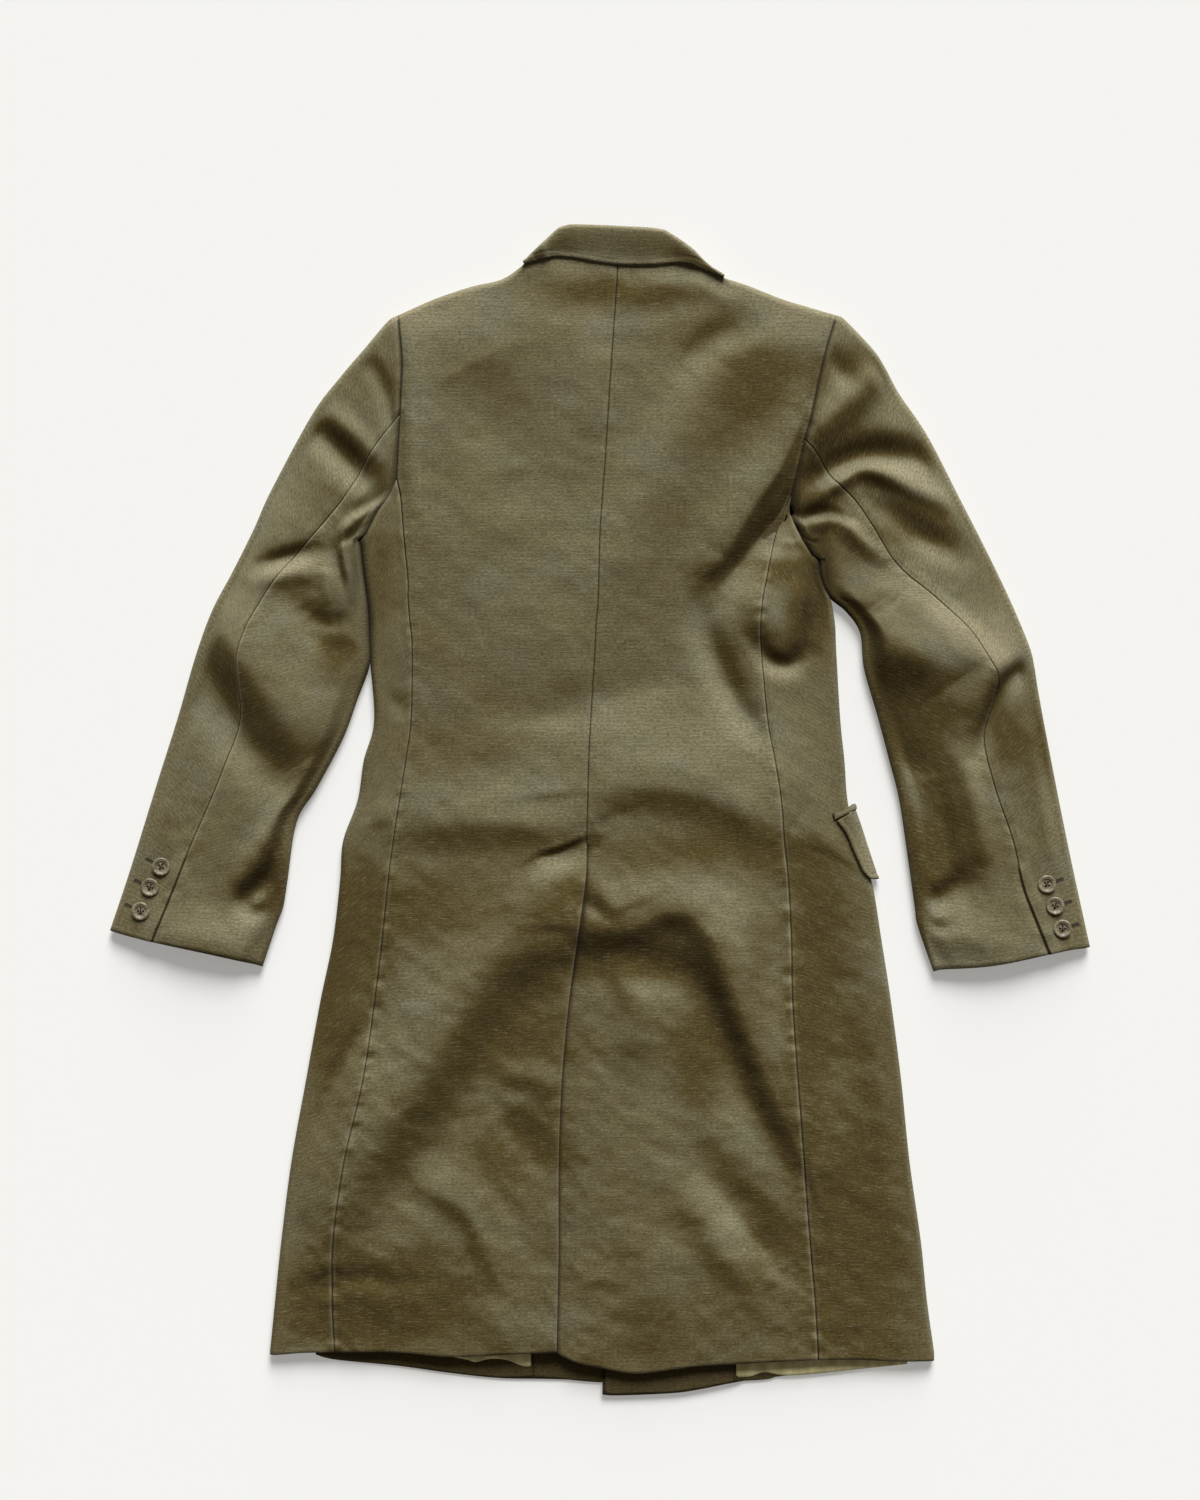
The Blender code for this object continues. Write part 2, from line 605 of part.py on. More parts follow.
def sleeve_grid(side, body):
    """A sleeve's tube: from the front seam below, round the outer edge, over the top to the
    inner edge and back to the front seam. Row 0 is the armhole."""
    hole, tip, underarm = ARMHOLE[side]
    shape = SLEEVES[side]
    away = 1 if side == "left" else -1
    outer = trace([tuple(tip)] + shape["outer"], SLEEVE_ROWS, OUTER_LAG)
    inner = trace([tuple(underarm)] + shape["inner"], SLEEVE_ROWS, INNER_LAG)
    seam = trace(shape["seam"], SLEEVE_ROWS, SEAM_LAG)
    outer_flat = inset(outer, -EDGE_INSET * away)
    inner_flat = inset(inner, EDGE_INSET * away)
    outer_flat[0], inner_flat[0] = hole[0], hole[-1]
    counts = (RING_COLUMNS[0], sum(RING_COLUMNS[1:]))
    cuff_outer = trace(shape["cuff outer"], counts[0])
    cuff_inner = trace(shape["cuff inner"], counts[1])
    cuff_outer[0] = outer_flat[-1]
    cuff_inner[-1] = inner_flat[-1]
    upper = patch(outer_flat, seam, hole[:BACK_SEAM + 1], cuff_outer, settle=SLEEVE_SETTLE)
    lower = patch(seam, inner_flat, hole[BACK_SEAM:], cuff_inner, settle=SLEEVE_SETTLE)
    plan = np.concatenate([upper, lower[:, 1:]], axis=1)
    width = np.linalg.norm(plan[:, -1] - plan[:, 0], axis=1)[:, None]
    from_outer = np.linalg.norm(plan - plan[:, :1], axis=2)
    from_inner = np.linalg.norm(plan - plan[:, -1:], axis=2)
    share = from_outer / (from_outer + from_inner)
    along = np.linspace(0, 1, SLEEVE_ROWS + 1)[:, None]
    crown = SLEEVE_CROWN * (1 - (2 * share - 1) ** 2) * np.minimum(1, width / SLEEVE_FULL_WIDTH)
    fade = ease(np.minimum(from_outer, from_inner) / SLEEVE_FOLD_FADE)
    relief = fade * fold_relief(SLEEVE_FOLDS[side], plan[..., 0], plan[..., 1])
    own = EDGE_HEIGHT + crown + relief
    shared = back_height(plan[..., 0], plan[..., 1])
    height = shared + (own - shared) * ease(along * SLEEVE_ROWS / SHARED_ROWS)
    top = lifted(plan, height)
    outer_arc = [edge_arc(top[:, 0], outer, turn)[:, None] for turn in ARC_TURNS]
    inner_arc = [edge_arc(top[:, -1], inner, turn)[:, None] for turn in ARC_TURNS]
    floor = on_floor(plan)
    grid = np.concatenate([floor[:, list(FLAT_COLUMNS)], outer_arc[1], outer_arc[0], top,
                           inner_arc[0], inner_arc[1], floor[:, [-1]], floor[:, [FLAT_COLUMNS[0]]]],
                          axis=1)
    first = len(FLAT_COLUMNS) - 1
    for place, (row, column_place) in enumerate(ring_places(side)):
        grid[0, first + place] = body[row, column_place]
    return grid


def share_normals(side, body_normal, sleeve_normal):
    """Gives both sides of an armhole seam the same normals, but for the crotch underneath."""
    first = len(FLAT_COLUMNS) - 1
    for place, (row, column_place) in enumerate(ring_places(side)):
        if body_normal[row, column_place] @ sleeve_normal[0, first + place] < SHARED_FROM:
            continue
        mean = body_normal[row, column_place] + sleeve_normal[0, first + place]
        mean /= np.linalg.norm(mean)
        body_normal[row, column_place] = mean
        sleeve_normal[0, first + place] = mean


def body_panels(grid, normal, coat):
    ends = {"left": (0, LEFT_SEAM_COLUMN), "right": (RIGHT_SEAM_COLUMN, grid.shape[1] - 1)}
    for side, (first, last) in ends.items():
        part = (slice(0, ROWS_BELOW + 1), slice(first, last + 1))
        cloth_wall("side_" + side, grid[part], normal[part], ("left", "right", "top"), "canvas", coat)

    part = (slice(None), slice(LEFT_SEAM_COLUMN, CENTRE_COLUMN + 1))
    cloth_wall("back_left", grid[part], normal[part], ("left", "right"), "canvas", coat)

    lap = slice(CENTRE_COLUMN - VENT_LAP_COLUMNS, CENTRE_COLUMN)
    part = (slice(None), slice(CENTRE_COLUMN, RIGHT_SEAM_COLUMN + 1))
    points = pull_in(grid[part], ("left", "right"))
    laps = grid[:, lap].copy()
    in_vent = grid[:, CENTRE_COLUMN, 1] < VENT_TOP
    laps[~in_vent] = np.nan
    drop = CLOTH + LAYER_GAP
    laps -= drop * normal[:, lap]
    points[in_vent, 0] -= drop * normal[in_vent, CENTRE_COLUMN]
    points = np.concatenate([laps, points], axis=1)
    facing = np.concatenate([normal[:, lap], normal[part]], axis=1)
    wall("back_right", points, points - CLOTH * facing, "canvas", coat)


def sleeve_panels(side, grid, normal, coat):
    split = len(FLAT_COLUMNS) + len(ARC_TURNS) + BACK_SEAM
    upper, lower = slice(0, split + 1), slice(split, None)
    sides = ("left", "right", "bottom")
    cloth_wall("sleeve_top_" + side, grid[:, upper], normal[:, upper], sides, "canvas", coat)
    cloth_wall("sleeve_under_" + side, grid[:, lower], normal[:, lower], sides, "canvas", coat)


def front_panel(side, grid, coat):
    """A front, flat on the surface. The right one is lifted where it laps over the left."""
    shape = FRONTS[side]
    under_seam = grid[:ROWS_BELOW + 1, 0 if side == "left" else -1, :2]
    hole = ARMHOLE[side][0]
    outer = np.vstack([under_seam, hole[list(FLAT_COLUMNS[1:])]])
    outer[0] = shape["hem"][0]
    shares = np.array(shape["columns"])
    count = len(shares) - 1
    levels = np.linspace(shape["hem"][-1][1], shape["edge top"][1], len(outer))
    across = np.linspace(shape["hem"][-1][0], shape["edge top"][0], len(outer))
    edge = np.column_stack([across, levels])
    hem = trace(shape["hem"], HEM_STEPS)[(shares * HEM_STEPS).astype(int)]
    outer[-1] += SHOULDER_GAP * np.array([1 if side == "left" else -1, -1])
    neck = shape["neck"]
    rim = trace([tuple(outer[-1]), neck[0]], 2)[:-1]
    top = np.vstack([rim, trace(neck, count - 2)])
    plan = patch(outer, edge, hem, top, shares)
    raised = np.zeros(plan.shape[:2])
    if side == "right":
        raised[:, RAISED_FROM_COLUMN:] = CLOTH + SEAM_GAP
        raised[:RAISED_HEM_ROWS, RAISED_FROM_COLUMN:] += CLOTH + SEAM_GAP
    outside = lifted(plan, raised)
    outside = pull_in(outside, ("left",))
    inside = outside + np.array([0, 0, CLOTH])
    wall("front_" + side, inside, outside, "canvas", coat)


def strip(name, lower, height, base, thickness, finish_name, coat, columns=10):
    """A flat strip of cloth inside the hem, from its lower edge up."""
    low = trace(lower, columns)
    plan = low + np.linspace(0, height, 3)[:, None, None] * np.array([0, 1])
    bottom = lifted(plan, np.full(plan.shape[:2], base))
    wall(name, bottom + np.array([0, 0, thickness]), bottom, finish_name, coat)


def hem_strips(coat):
    layer = CLOTH + SEAM_GAP
    over_strip = layer + STRIP_CLOTH + SEAM_GAP
    for side, strips, facing_base in (("left", LEFT_STRIPS, layer), ("right", RIGHT_STRIPS, 3 * layer)):
        strip("facing_" + side, strips["facing"], FACING_HEIGHT, facing_base, STRIP_CLOTH,
              "canvas, inside", coat, 5)
        strip("turnup_" + side, strips["turnup"], TURNUP_HEIGHT, layer, STRIP_CLOTH,
              "canvas, inside", coat)
        strip("lining_" + side, strips["lining"], LINING_HEIGHT, over_strip, LINING, "satin", coat)


def collar(coat):
    """The collar's fall rolls over at the fold and runs back as a stand to the neck seam."""
    top = trace(COLLAR_TOP, COLLAR_COLUMNS)
    low = trace(COLLAR_LOW, COLLAR_COLUMNS)
    neck = trace(COLLAR_SEAT, COLLAR_COLUMNS)
    across = top - low
    depth = np.linalg.norm(across, axis=1)[:, None]
    flat = top - across / depth * np.minimum(COLLAR_ROLL, depth * ROLL_SHARE)
    ahead = ((flat - neck) * across / depth).sum(axis=1)
    base = back_height(neck[:, 0], neck[:, 1])
    sunk = ease(ahead / STAND_LENGTH - SINK_START)
    bottom = base + LAYER_GAP - (LAYER_GAP + COLLAR_SINK) * sunk
    stack = 2 * COLLAR_CLOTH + LAYER_GAP
    rows = []
    roll = bottom + 2 * COLLAR_ROLL
    spread = np.linalg.norm(flat - low, axis=1)
    for share in FALL_ROWS:
        plan = low + share * (flat - low)
        lie = back_height(plan[:, 0], plan[:, 1]) + LAYER_GAP + stack
        lie = np.maximum(lie, roll - COLLAR_SLOPE * spread)
        rows.append(lifted(plan, lie + (roll - lie) * ease(np.array(share))))
    for turn in np.linspace(0, math.pi, COLLAR_ROLL_ROWS + 1)[1:]:
        plan = flat + (top - flat) * math.sin(turn)
        rows.append(lifted(plan, bottom + COLLAR_ROLL * (1 + math.cos(turn))))
    under = base - stack
    for share in (0.5, 1):
        plan = flat + share * (neck - flat)
        rows.append(lifted(plan, bottom + share * (under - bottom)))
    grid = np.array(rows)
    grid[-2:, ahead < STAND_LENGTH] = np.nan
    normal = normals(grid)
    cloth_wall("collar_fall", grid, normal, (), "canvas", coat, thickness=COLLAR_CLOTH)
    cloth_wall("collar_under", grid, normal, (), "canvas", coat, thickness=COLLAR_CLOTH,
               offset=COLLAR_CLOTH + LAYER_GAP)


def pocket_piece(name, rear, outer, rows, coat):
    """A piece on the right hip that follows the body's folded edge, from its rear edge round."""
    rear_line, outer_line = trace(rear, rows), trace(outer, rows)
    clear = LAYER_GAP + CLOTH
    lines = []
    for start, end in zip(rear_line, outer_line):
        flat = outline("right", start[1])
        reach = end[0] - flat
        first = math.asin(np.clip((start[0] - flat) / reach, 0, 1))
        turns = np.linspace(first, FLAP_TURN, FLAP_COLUMNS)
        across = flat + reach * np.sin(turns)
        middle = EDGE_HEIGHT / 2
        height = middle + (middle + clear) * np.cos(turns)
        if start[0] < flat - 1:
            across = np.concatenate([[start[0]], across])[:-1]
            rest = back_height(start[:1], start[1:])[0]
            height = np.concatenate([[rest + clear], height])[:-1]
        level = start[1] + (end[1] - start[1]) * (across - start[0]) / (end[0] - start[0])
        lines.append(np.column_stack([across, level, height]))
    grid = np.array(lines)
    cloth_wall(name, grid, -normals(grid), (), "canvas", coat)


def button(name, place, height, coat):
    """A turned button with a raised rim, lying flat on the cuff."""
    mesh = bpy.data.meshes.new(name)
    profile = BUTTON_PROFILE
    mesh.from_pydata([(x * MM, 0, z * MM) for x, z in profile],
                     list(zip(range(len(profile)), range(1, len(profile)))), [])
    made = finish(name, mesh, "horn", coat)
    made.location = (place[0] * MM, place[1] * MM, height * MM)
    turn = made.modifiers.new("Turn", "SCREW")
    turn.steps = BUTTON_STEPS
    turn.render_steps = BUTTON_STEPS
    turn.use_merge_vertices = True
    turn.merge_threshold = 0.0001
    return made


def cuff_buttons(side, grid, coat):
    flat = len(FLAT_COLUMNS) + len(ARC_TURNS)
    top = grid[:, flat:flat + sum(RING_COLUMNS) + 1]
    shares = np.linspace(0, 1, FACET_STEPS + 1)[:, None, None, None]
    rows = (top[:-1] + shares * (top[1:] - top[:-1])).reshape(-1, top.shape[1], 3)
    points = (rows[:, :-1] + shares * (rows[:, 1:] - rows[:, :-1])).reshape(-1, 3)
    for count, place in enumerate(BUTTONS[side], 1):
        gap = np.hypot(points[:, 0] - place[0], points[:, 1] - place[1])
        height = points[gap < BUTTON_RADIUS, 2].max() + LAYER_GAP
        button("button_%s_%d" % (side, count), place, height, coat)


def main():
    for old in list(bpy.data.objects):
        bpy.data.objects.remove(old, do_unlink=True)
    coat = bpy.data.collections.new("Coat")
    bpy.context.scene.collection.children.link(coat)
    grid = body_grid()
    normal = normals(grid)
    for side in ("left", "right"):
        sleeve = sleeve_grid(side, grid)
        sleeve_normal = normals(sleeve, closed=True)
        if side == "left":
            sleeve_normal = -sleeve_normal
        share_normals(side, normal, sleeve_normal)
        sleeve_panels(side, sleeve, sleeve_normal, coat)
        cuff_buttons(side, sleeve, coat)
        front_panel(side, grid, coat)
    body_panels(grid, normal, coat)
    hem_strips(coat)
    collar(coat)
    pocket_piece("pocket_flap", FLAP_REAR, FLAP_OUTER, 5, coat)
    pocket_piece("pocket_jet", JET_REAR, JET_OUTER, 1, coat)


main()
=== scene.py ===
import math

import bpy
import numpy as np
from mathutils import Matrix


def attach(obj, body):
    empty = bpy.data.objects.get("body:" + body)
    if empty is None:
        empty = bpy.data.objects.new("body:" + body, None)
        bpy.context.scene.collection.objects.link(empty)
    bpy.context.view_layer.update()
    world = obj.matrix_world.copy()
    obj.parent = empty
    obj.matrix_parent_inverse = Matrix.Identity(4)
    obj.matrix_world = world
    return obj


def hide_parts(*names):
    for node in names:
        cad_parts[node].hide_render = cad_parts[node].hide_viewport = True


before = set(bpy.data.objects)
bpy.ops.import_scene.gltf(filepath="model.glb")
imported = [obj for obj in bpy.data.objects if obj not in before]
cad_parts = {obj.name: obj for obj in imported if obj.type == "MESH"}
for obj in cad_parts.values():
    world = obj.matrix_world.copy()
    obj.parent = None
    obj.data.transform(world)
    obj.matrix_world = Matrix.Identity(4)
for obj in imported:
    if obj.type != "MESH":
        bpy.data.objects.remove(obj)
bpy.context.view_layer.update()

# Lengths are in millimetres until a mesh is made: x to the right, y to the collar, z up.
mm = 0.001
cloth = 1.5              # the canvas of the body and the sleeves
collarCloth = 1.0        # each of the collar's two layers
liningCloth = 0.8
stripCloth = 1.1         # facings and turned-up hems
layerGap = 0.4           # between two layers that lie on each other
edgeHeight = 12.0        # height of the folded edges
edgeInset = 6.0          # the folded edges swell this far past the flat top
underShare = 0.66        # share of its width that a panel runs back underneath
centreTurn = 320.0       # from this level up the back's rows bend toward the neck
underarmLevel = 262.0    # above it the armholes bound the back
shoulderRise = 80.0      # over this length the crown sinks to the shoulders and the neck
foldFade = 26.0          # folds fade out this near the edges
wrinkleFade = 12.0       # and small wrinkles this near
ventTop = -30.0          # level at which the vent opens
ventShadow = 2.8         # width of the shade beside the vent's upper edge
foldStrength = 2.0       # scales the height of every fold in the tables below
hemWear = 0.25           # how pale the folded hems are rubbed
noiseCells = 61          # the noise repeats after this many cells
noiseShift = 900         # keeps the noise's coordinates above zero

# Seeds of the noise in each seam, layer and surface.
seeds = {
    "wrinkles": (3, 4, 5, 6, 7),
    "side seam": {"left": 11, "right": 21},
    "armhole": {"left": 31, "right": 41},
    "centre seam": 51,
    "vent edge": (61, 62),
    "sleeve seam": {"left": 71, "right": 81},
    "strips": (91, 92),
    "collar": (95, 96),
}

# Body below the armholes, a row for each section from the hem up.
# Columns: y, left edge, left side seam, centre seam, right side seam, right edge, crown.
bodySections = [
    (-525, -320, -257, -42, 211, 324, 6),
    (-475, -315, -259, -41, 208, 317, 7),
    (-417, -309, -258, -40, 203, 311, 8),
    (-339, -299, -247, -40, 197, 300, 9),
    (-261, -285, -229, -37, 191, 292, 9),
    (-184, -271, -218, -30, 186, 282, 10),
    (-126, -259, -211, -22, 185, 273, 10),
    (-67, -252, -205, -14, 182, 263, 10),
    (-29, -249, -200, -13, 178, 248, 10),
    (10, -235, -194, -12, 175, 240, 9),
    (49, -229, -188, -11, 169, 237, 9),
    (88, -219, -183, -9, 162, 233, 9),
    (156, -224, -182, -5, 156, 229, 10),
    (180, -224, -184, -4, 155, 228, 10),
    (204, -226, -186, -2, 157, 224, 10),
]

# The same columns above that: each seam as (y, x) up to where it ends.
leftEdgeTop = [(232, -230), (262, -233)]
leftSeamTop = [(222, -186), (264, -190), (301, -193), (321, -197)]
centreTop = [(271, 0), (340, 5), (388, 8), (450, 12), (524, 17), (544, 17)]
rightSeamTop = [(224, 161), (257, 168), (284, 176), (307, 186)]
rightEdgeTop = [(214, 219), (228, 214), (243, 212)]
crownTop = [(250, 10), (420, 8), (520, 4), (560, 3)]

# Armholes from the shoulder down to the underarm, cut where a seam meets them.
armholes = {
    "left": {
        "tip": (-196, 480),
        "to sleeve seam": [(-195, 474), (-192, 432), (-193, 407), (-194, 383)],
        "to side seam": [(-194, 383), (-196, 348), (-197, 321)],
        "to underarm": [(-197, 321), (-204, 306), (-215, 290), (-226, 268)],
        "underarm": (-233, 262),
    },
    "right": {
        "tip": (229, 480),
        "to sleeve seam": [(227, 474), (220, 451), (212, 418), (204, 380), (198, 359)],
        "to side seam": [(198, 359), (191, 328), (186, 307)],
        "to underarm": [(186, 307), (185, 290), (192, 270), (205, 247)],
        "underarm": (212, 243),
    },
}

# Shoulder outline from the tip to the neck, the neck seam under the collar, and the hems.
shoulders = {
    "left": [(-196, 480), (-160, 496), (-124, 508), (-95, 515), (-74, 529)],
    "right": [(229, 480), (202, 488), (176, 496), (143, 509), (118, 517)],
}
neckSeams = {
    "left": [(-74, 529), (-50, 541), (-23, 544), (17, 544)],
    "right": [(118, 517), (100, 530), (80, 540), (60, 543), (17, 544)],
}
hems = {
    "left side": [(-320, -527), (-290, -525), (-257, -524)],
    "left back": [(-257, -524), (-196, -524), (-151, -528), (-97, -526), (-42, -523)],
    "right back": [(-42, -525), (-21, -534), (2, -539), (38, -544), (98, -537), (211, -531)],
    "right side": [(211, -531), (246, -531), (291, -533), (324, -533)],
}

# Sleeve outlines from the armhole to the cuff.
sleeves = {
    "left": {
        "outer": [(-206, 474), (-229, 447), (-252, 420), (-279, 384), (-319, 310), (-336, 272),
                  (-357, 230), (-376, 194), (-392, 150), (-409, 91), (-428, 31), (-455, -56),
                  (-475, -116)],
        "seam": [(-194, 383), (-206, 369), (-222, 346), (-243, 310), (-260, 287), (-290, 252),
                 (-310, 229), (-328, 202), (-343, 174), (-351, 142), (-348, 90), (-364, 41),
                 (-378, 6), (-396, -35), (-413, -78), (-433, -127)],
        "inner": [(-231.4, 252), (-229.2, 232), (-225.0, 200), (-223.4, 172), (-223.0, 142), (-235, 108),
                  (-249, 70), (-275, 21), (-294, -11), (-303, -68), (-307, -93), (-314, -112),
                  (-327, -151)],
        "cuff outer": [(-475, -116), (-454, -122), (-433, -127)],
        "cuff inner": [(-433, -127), (-380, -138), (-327, -151)],
    },
    "right": {
        "outer": [(237, 476), (264, 448), (276, 430), (290, 404), (317, 364), (348, 304),
                  (375, 251), (398, 203), (416, 160), (421, 140), (425, 115), (435, 61),
                  (454, -35), (475, -132)],
        "seam": [(198, 359), (210, 346), (225, 322), (246, 301), (264, 275), (281, 246),
                 (297, 228), (317, 212), (335, 196), (358, 174), (377, 145), (385, 128),
                 (382, 105), (372, 68), (382, 21), (399, -29), (409, -73), (422, -107),
                 (435, -139)],
        "inner": [(212.4, 238), (212.6, 231), (214.4, 222), (218.0, 213), (224.6, 204), (239, 192),
                  (252, 172), (256, 137), (269, 91), (281, 46), (290, 10), (298, -43),
                  (305, -93), (308, -112), (323, -156)],
        "cuff outer": [(475, -132), (455, -135), (435, -139)],
        "cuff inner": [(435, -139), (380, -150), (323, -156)],
    },
}

# Fronts below: the outer edge of each is the body's, the other is its front edge.
fronts = {
    "left": {
        "hem": [(-276, -528), (-257, -533), (-196, -539), (-145, -546), (-96, -551), (-44, -552),
                (62, -556)],
        "edge top": (47, 458),
        "neck": [(-73, 512), (-50, 490), (-10, 468), (47, 458)],
    },
    "right": {
        "hem": [(247, -542), (177, -549), (129, -555), (98, -561), (69, -565), (7, -567),
                (3, -561)],
        "edge top": (-13, 458),
        "neck": [(116, 504), (95, 485), (50, 465), (-13, 458)],
    },
}

# Strips inside the hem: the lower edge of each, from left to right.
leftStrips = {
    "facing": [(-64, -550), (-44, -551), (0, -555), (59, -555)],
    "turnup": [(-272, -528), (-257, -532), (-196, -538), (-145, -545), (-96, -550), (-66, -549)],
    "lining": [(-268, -523), (-181, -525), (-133, -532), (-121, -535), (-107, -532), (-91, -533),
               (-75, -539), (-67, -539)],
}
rightStrips = {
    "facing": [(5, -562), (9, -566), (38, -565), (69, -564), (98, -560), (129, -554)],
    "turnup": [(131, -554), (162, -552), (177, -548), (210, -546), (243, -542)],
    "lining": [(132, -550), (146, -549), (160, -545), (177, -548), (202, -547), (250, -542),
               (298, -537)],
}

# Collar, from its left tip to its right one.
collarTop = [(-74.5, 531.5), (-53, 552), (-41, 563), (-33, 566), (-24, 567), (11, 566), (55, 563),
             (69, 558), (89, 544), (104, 530), (120.5, 518)]
collarLow = [(-73, 529.5), (-46, 536), (-27, 535), (-4, 531), (20, 528), (50, 528), (73, 530),
             (88, 529), (101, 524), (119.5, 516)]
collarSeat = [(-72, 534), (-50, 543), (-23, 546), (17, 546), (60, 546), (82, 543), (101, 533),
              (118, 520)]

# Right hip pocket: rear and outer edges of the flap, and of the jet above it.
flapRear = [(229, -10), (238, -22), (248, -44), (254, -57), (262, -66)]
flapOuter = [(248, 1), (254, -16), (261, -38), (267, -56), (270.5, -66)]
jetRear = [(225, -3), (227, -9)]
jetOuter = [(248, 7), (249, 1.6)]

# Cuff buttons, from the elbow side down.
buttons = {
    "left": [(-424, -54), (-435, -74), (-444, -97)],
    "right": [(432, -71), (440, -92), (447, -114)],
}

# Folds, each with the line that it follows, its width to the left and to the right of that line
# as it goes, and its height, below zero for a trough.
bodyFolds = [
    ("drape ridge", [(194, 385), (173, 334), (147, 295), (118, 246)], 10, 28, 5.5),
    ("drape trough", [(194, 317), (181, 292), (156, 262), (130, 230), (118, 212)], 22, 11, -7),
    ("pouch trough", [(104, 217), (102, 185), (113, 144), (132, 104), (150, 78)], 14, 16, -5),
    ("pouch", [(152, 237), (153, 198), (160, 165)], 18, 20, 4),
    ("pouch foot", [(150, 166), (164, 146), (182, 142), (197, 154)], 9, 10, -4),
    ("side pouch", [(206, 252), (198, 214), (191, 180), (186, 158)], 9, 22, 4),
    ("left waist nip", [(-224, 110), (-206, 106), (-190, 98)], 9, 9, -1.2),
    ("blade swell", [(126, 427), (84, 372), (56, 314), (32, 262), (15, 211)], 42, 30, 4.5),
    ("right blade", [(84, 431), (107, 455), (136, 468)], 14, 16, -3),
    ("yoke", [(16, 495), (74, 508), (139, 500)], 12, 14, 1.6),
    ("left blade", [(-133, 427), (-107, 379), (-87, 330)], 38, 34, -2.6),
    ("left armhole", [(-181, 469), (-186, 379), (-180, 295)], 9, 9, 1.6),
    ("centre swell", [(-3, 450), (-6, 405), (-16, 359)], 22, 22, 1.5),
    ("waist right", [(-8, 22), (29, 28), (81, 24), (126, 9), (184, -21)], 60, 24, 4.5),
    ("waist left", [(-191, -12), (-113, -8), (-48, -12), (-13, -6)], 46, 20, 3.5),
    ("hip left", [(-223, 55), (-236, 10), (-242, -35)], 18, 14, 2),
    ("low back trough", [(-100, 97), (-48, 96), (10, 110), (61, 127)], 22, 20, -1.6),
    ("crease by the vent", [(-60, -46), (-36, -39), (-12, -29)], 2.5, 15, -3),
    ("light under crease", [(-39, -48), (-53, -74), (-63, -102)], 20, 16, 2),
    ("left arch", [(-17, -109), (-63, -126), (-107, -148), (-136, -192), (-165, -242), (-198, -291),
                   (-226, -332), (-254, -386), (-270, -429)], 34, 56, 8),
    ("left arch foot", [(-17, -152), (-67, -178), (-98, -213), (-122, -268), (-157, -317), (-188, -358),
                        (-215, -414)], 34, 30, -3.5),
    ("vent hollow", [(-17, -84), (-4, -95), (11, -104)], 9, 9, -2.4),
    ("right arch", [(-10, -112), (30, -110), (60, -97), (87, -99), (109, -124), (126, -166), (144, -214),
                    (164, -261), (186, -309), (194, -332)], 44, 17, 7),
    ("right arch foot", [(-10, -144), (30, -142), (69, -152), (94, -171), (114, -213), (136, -268),
                         (164, -317), (184, -349)], 16, 24, -3.5),
    ("inside the arch", [(17, -152), (36, -192), (26, -239)], 20, 14, 2.6),
    ("left of the vent", [(-93, -295), (-68, -329), (-51, -350)], 22, 20, -3),
    ("above it", [(-91, -253), (-63, -258), (-39, -265)], 14, 14, 1.8),
    ("left skirt ridge", [(-169, -363), (-129, -386), (-107, -428), (-91, -458)], 24, 12, 2.4),
    ("left hem", [(-288, -460), (-240, -453), (-176, -458)], 12, 12, -2),
    ("right hem trough", [(105, -350), (139, -394), (177, -444)], 24, 14, -3.6),
    ("right hem ridge", [(76, -358), (110, -414), (148, -464)], 14, 18, 2),
    ("right side", [(204, -95), (224, -178), (235, -303)], 26, 24, -2),
    ("left side crease", [(-222, -199), (-259, -261), (-297, -358)], 10, 10, -2.4),
    ("left side top", [(-226, -60), (-242, -137), (-254, -199)], 16, 16, -1.5),
    ("right side low", [(267, -199), (280, -303), (294, -414)], 18, 16, 1.6),
    ("hem swell", [(58, -400), (55, -455), (58, -525)], 30, 30, 2),
    ("hem swell left", [(-101, -469), (-98, -511), (-94, -525)], 20, 20, 2),
]
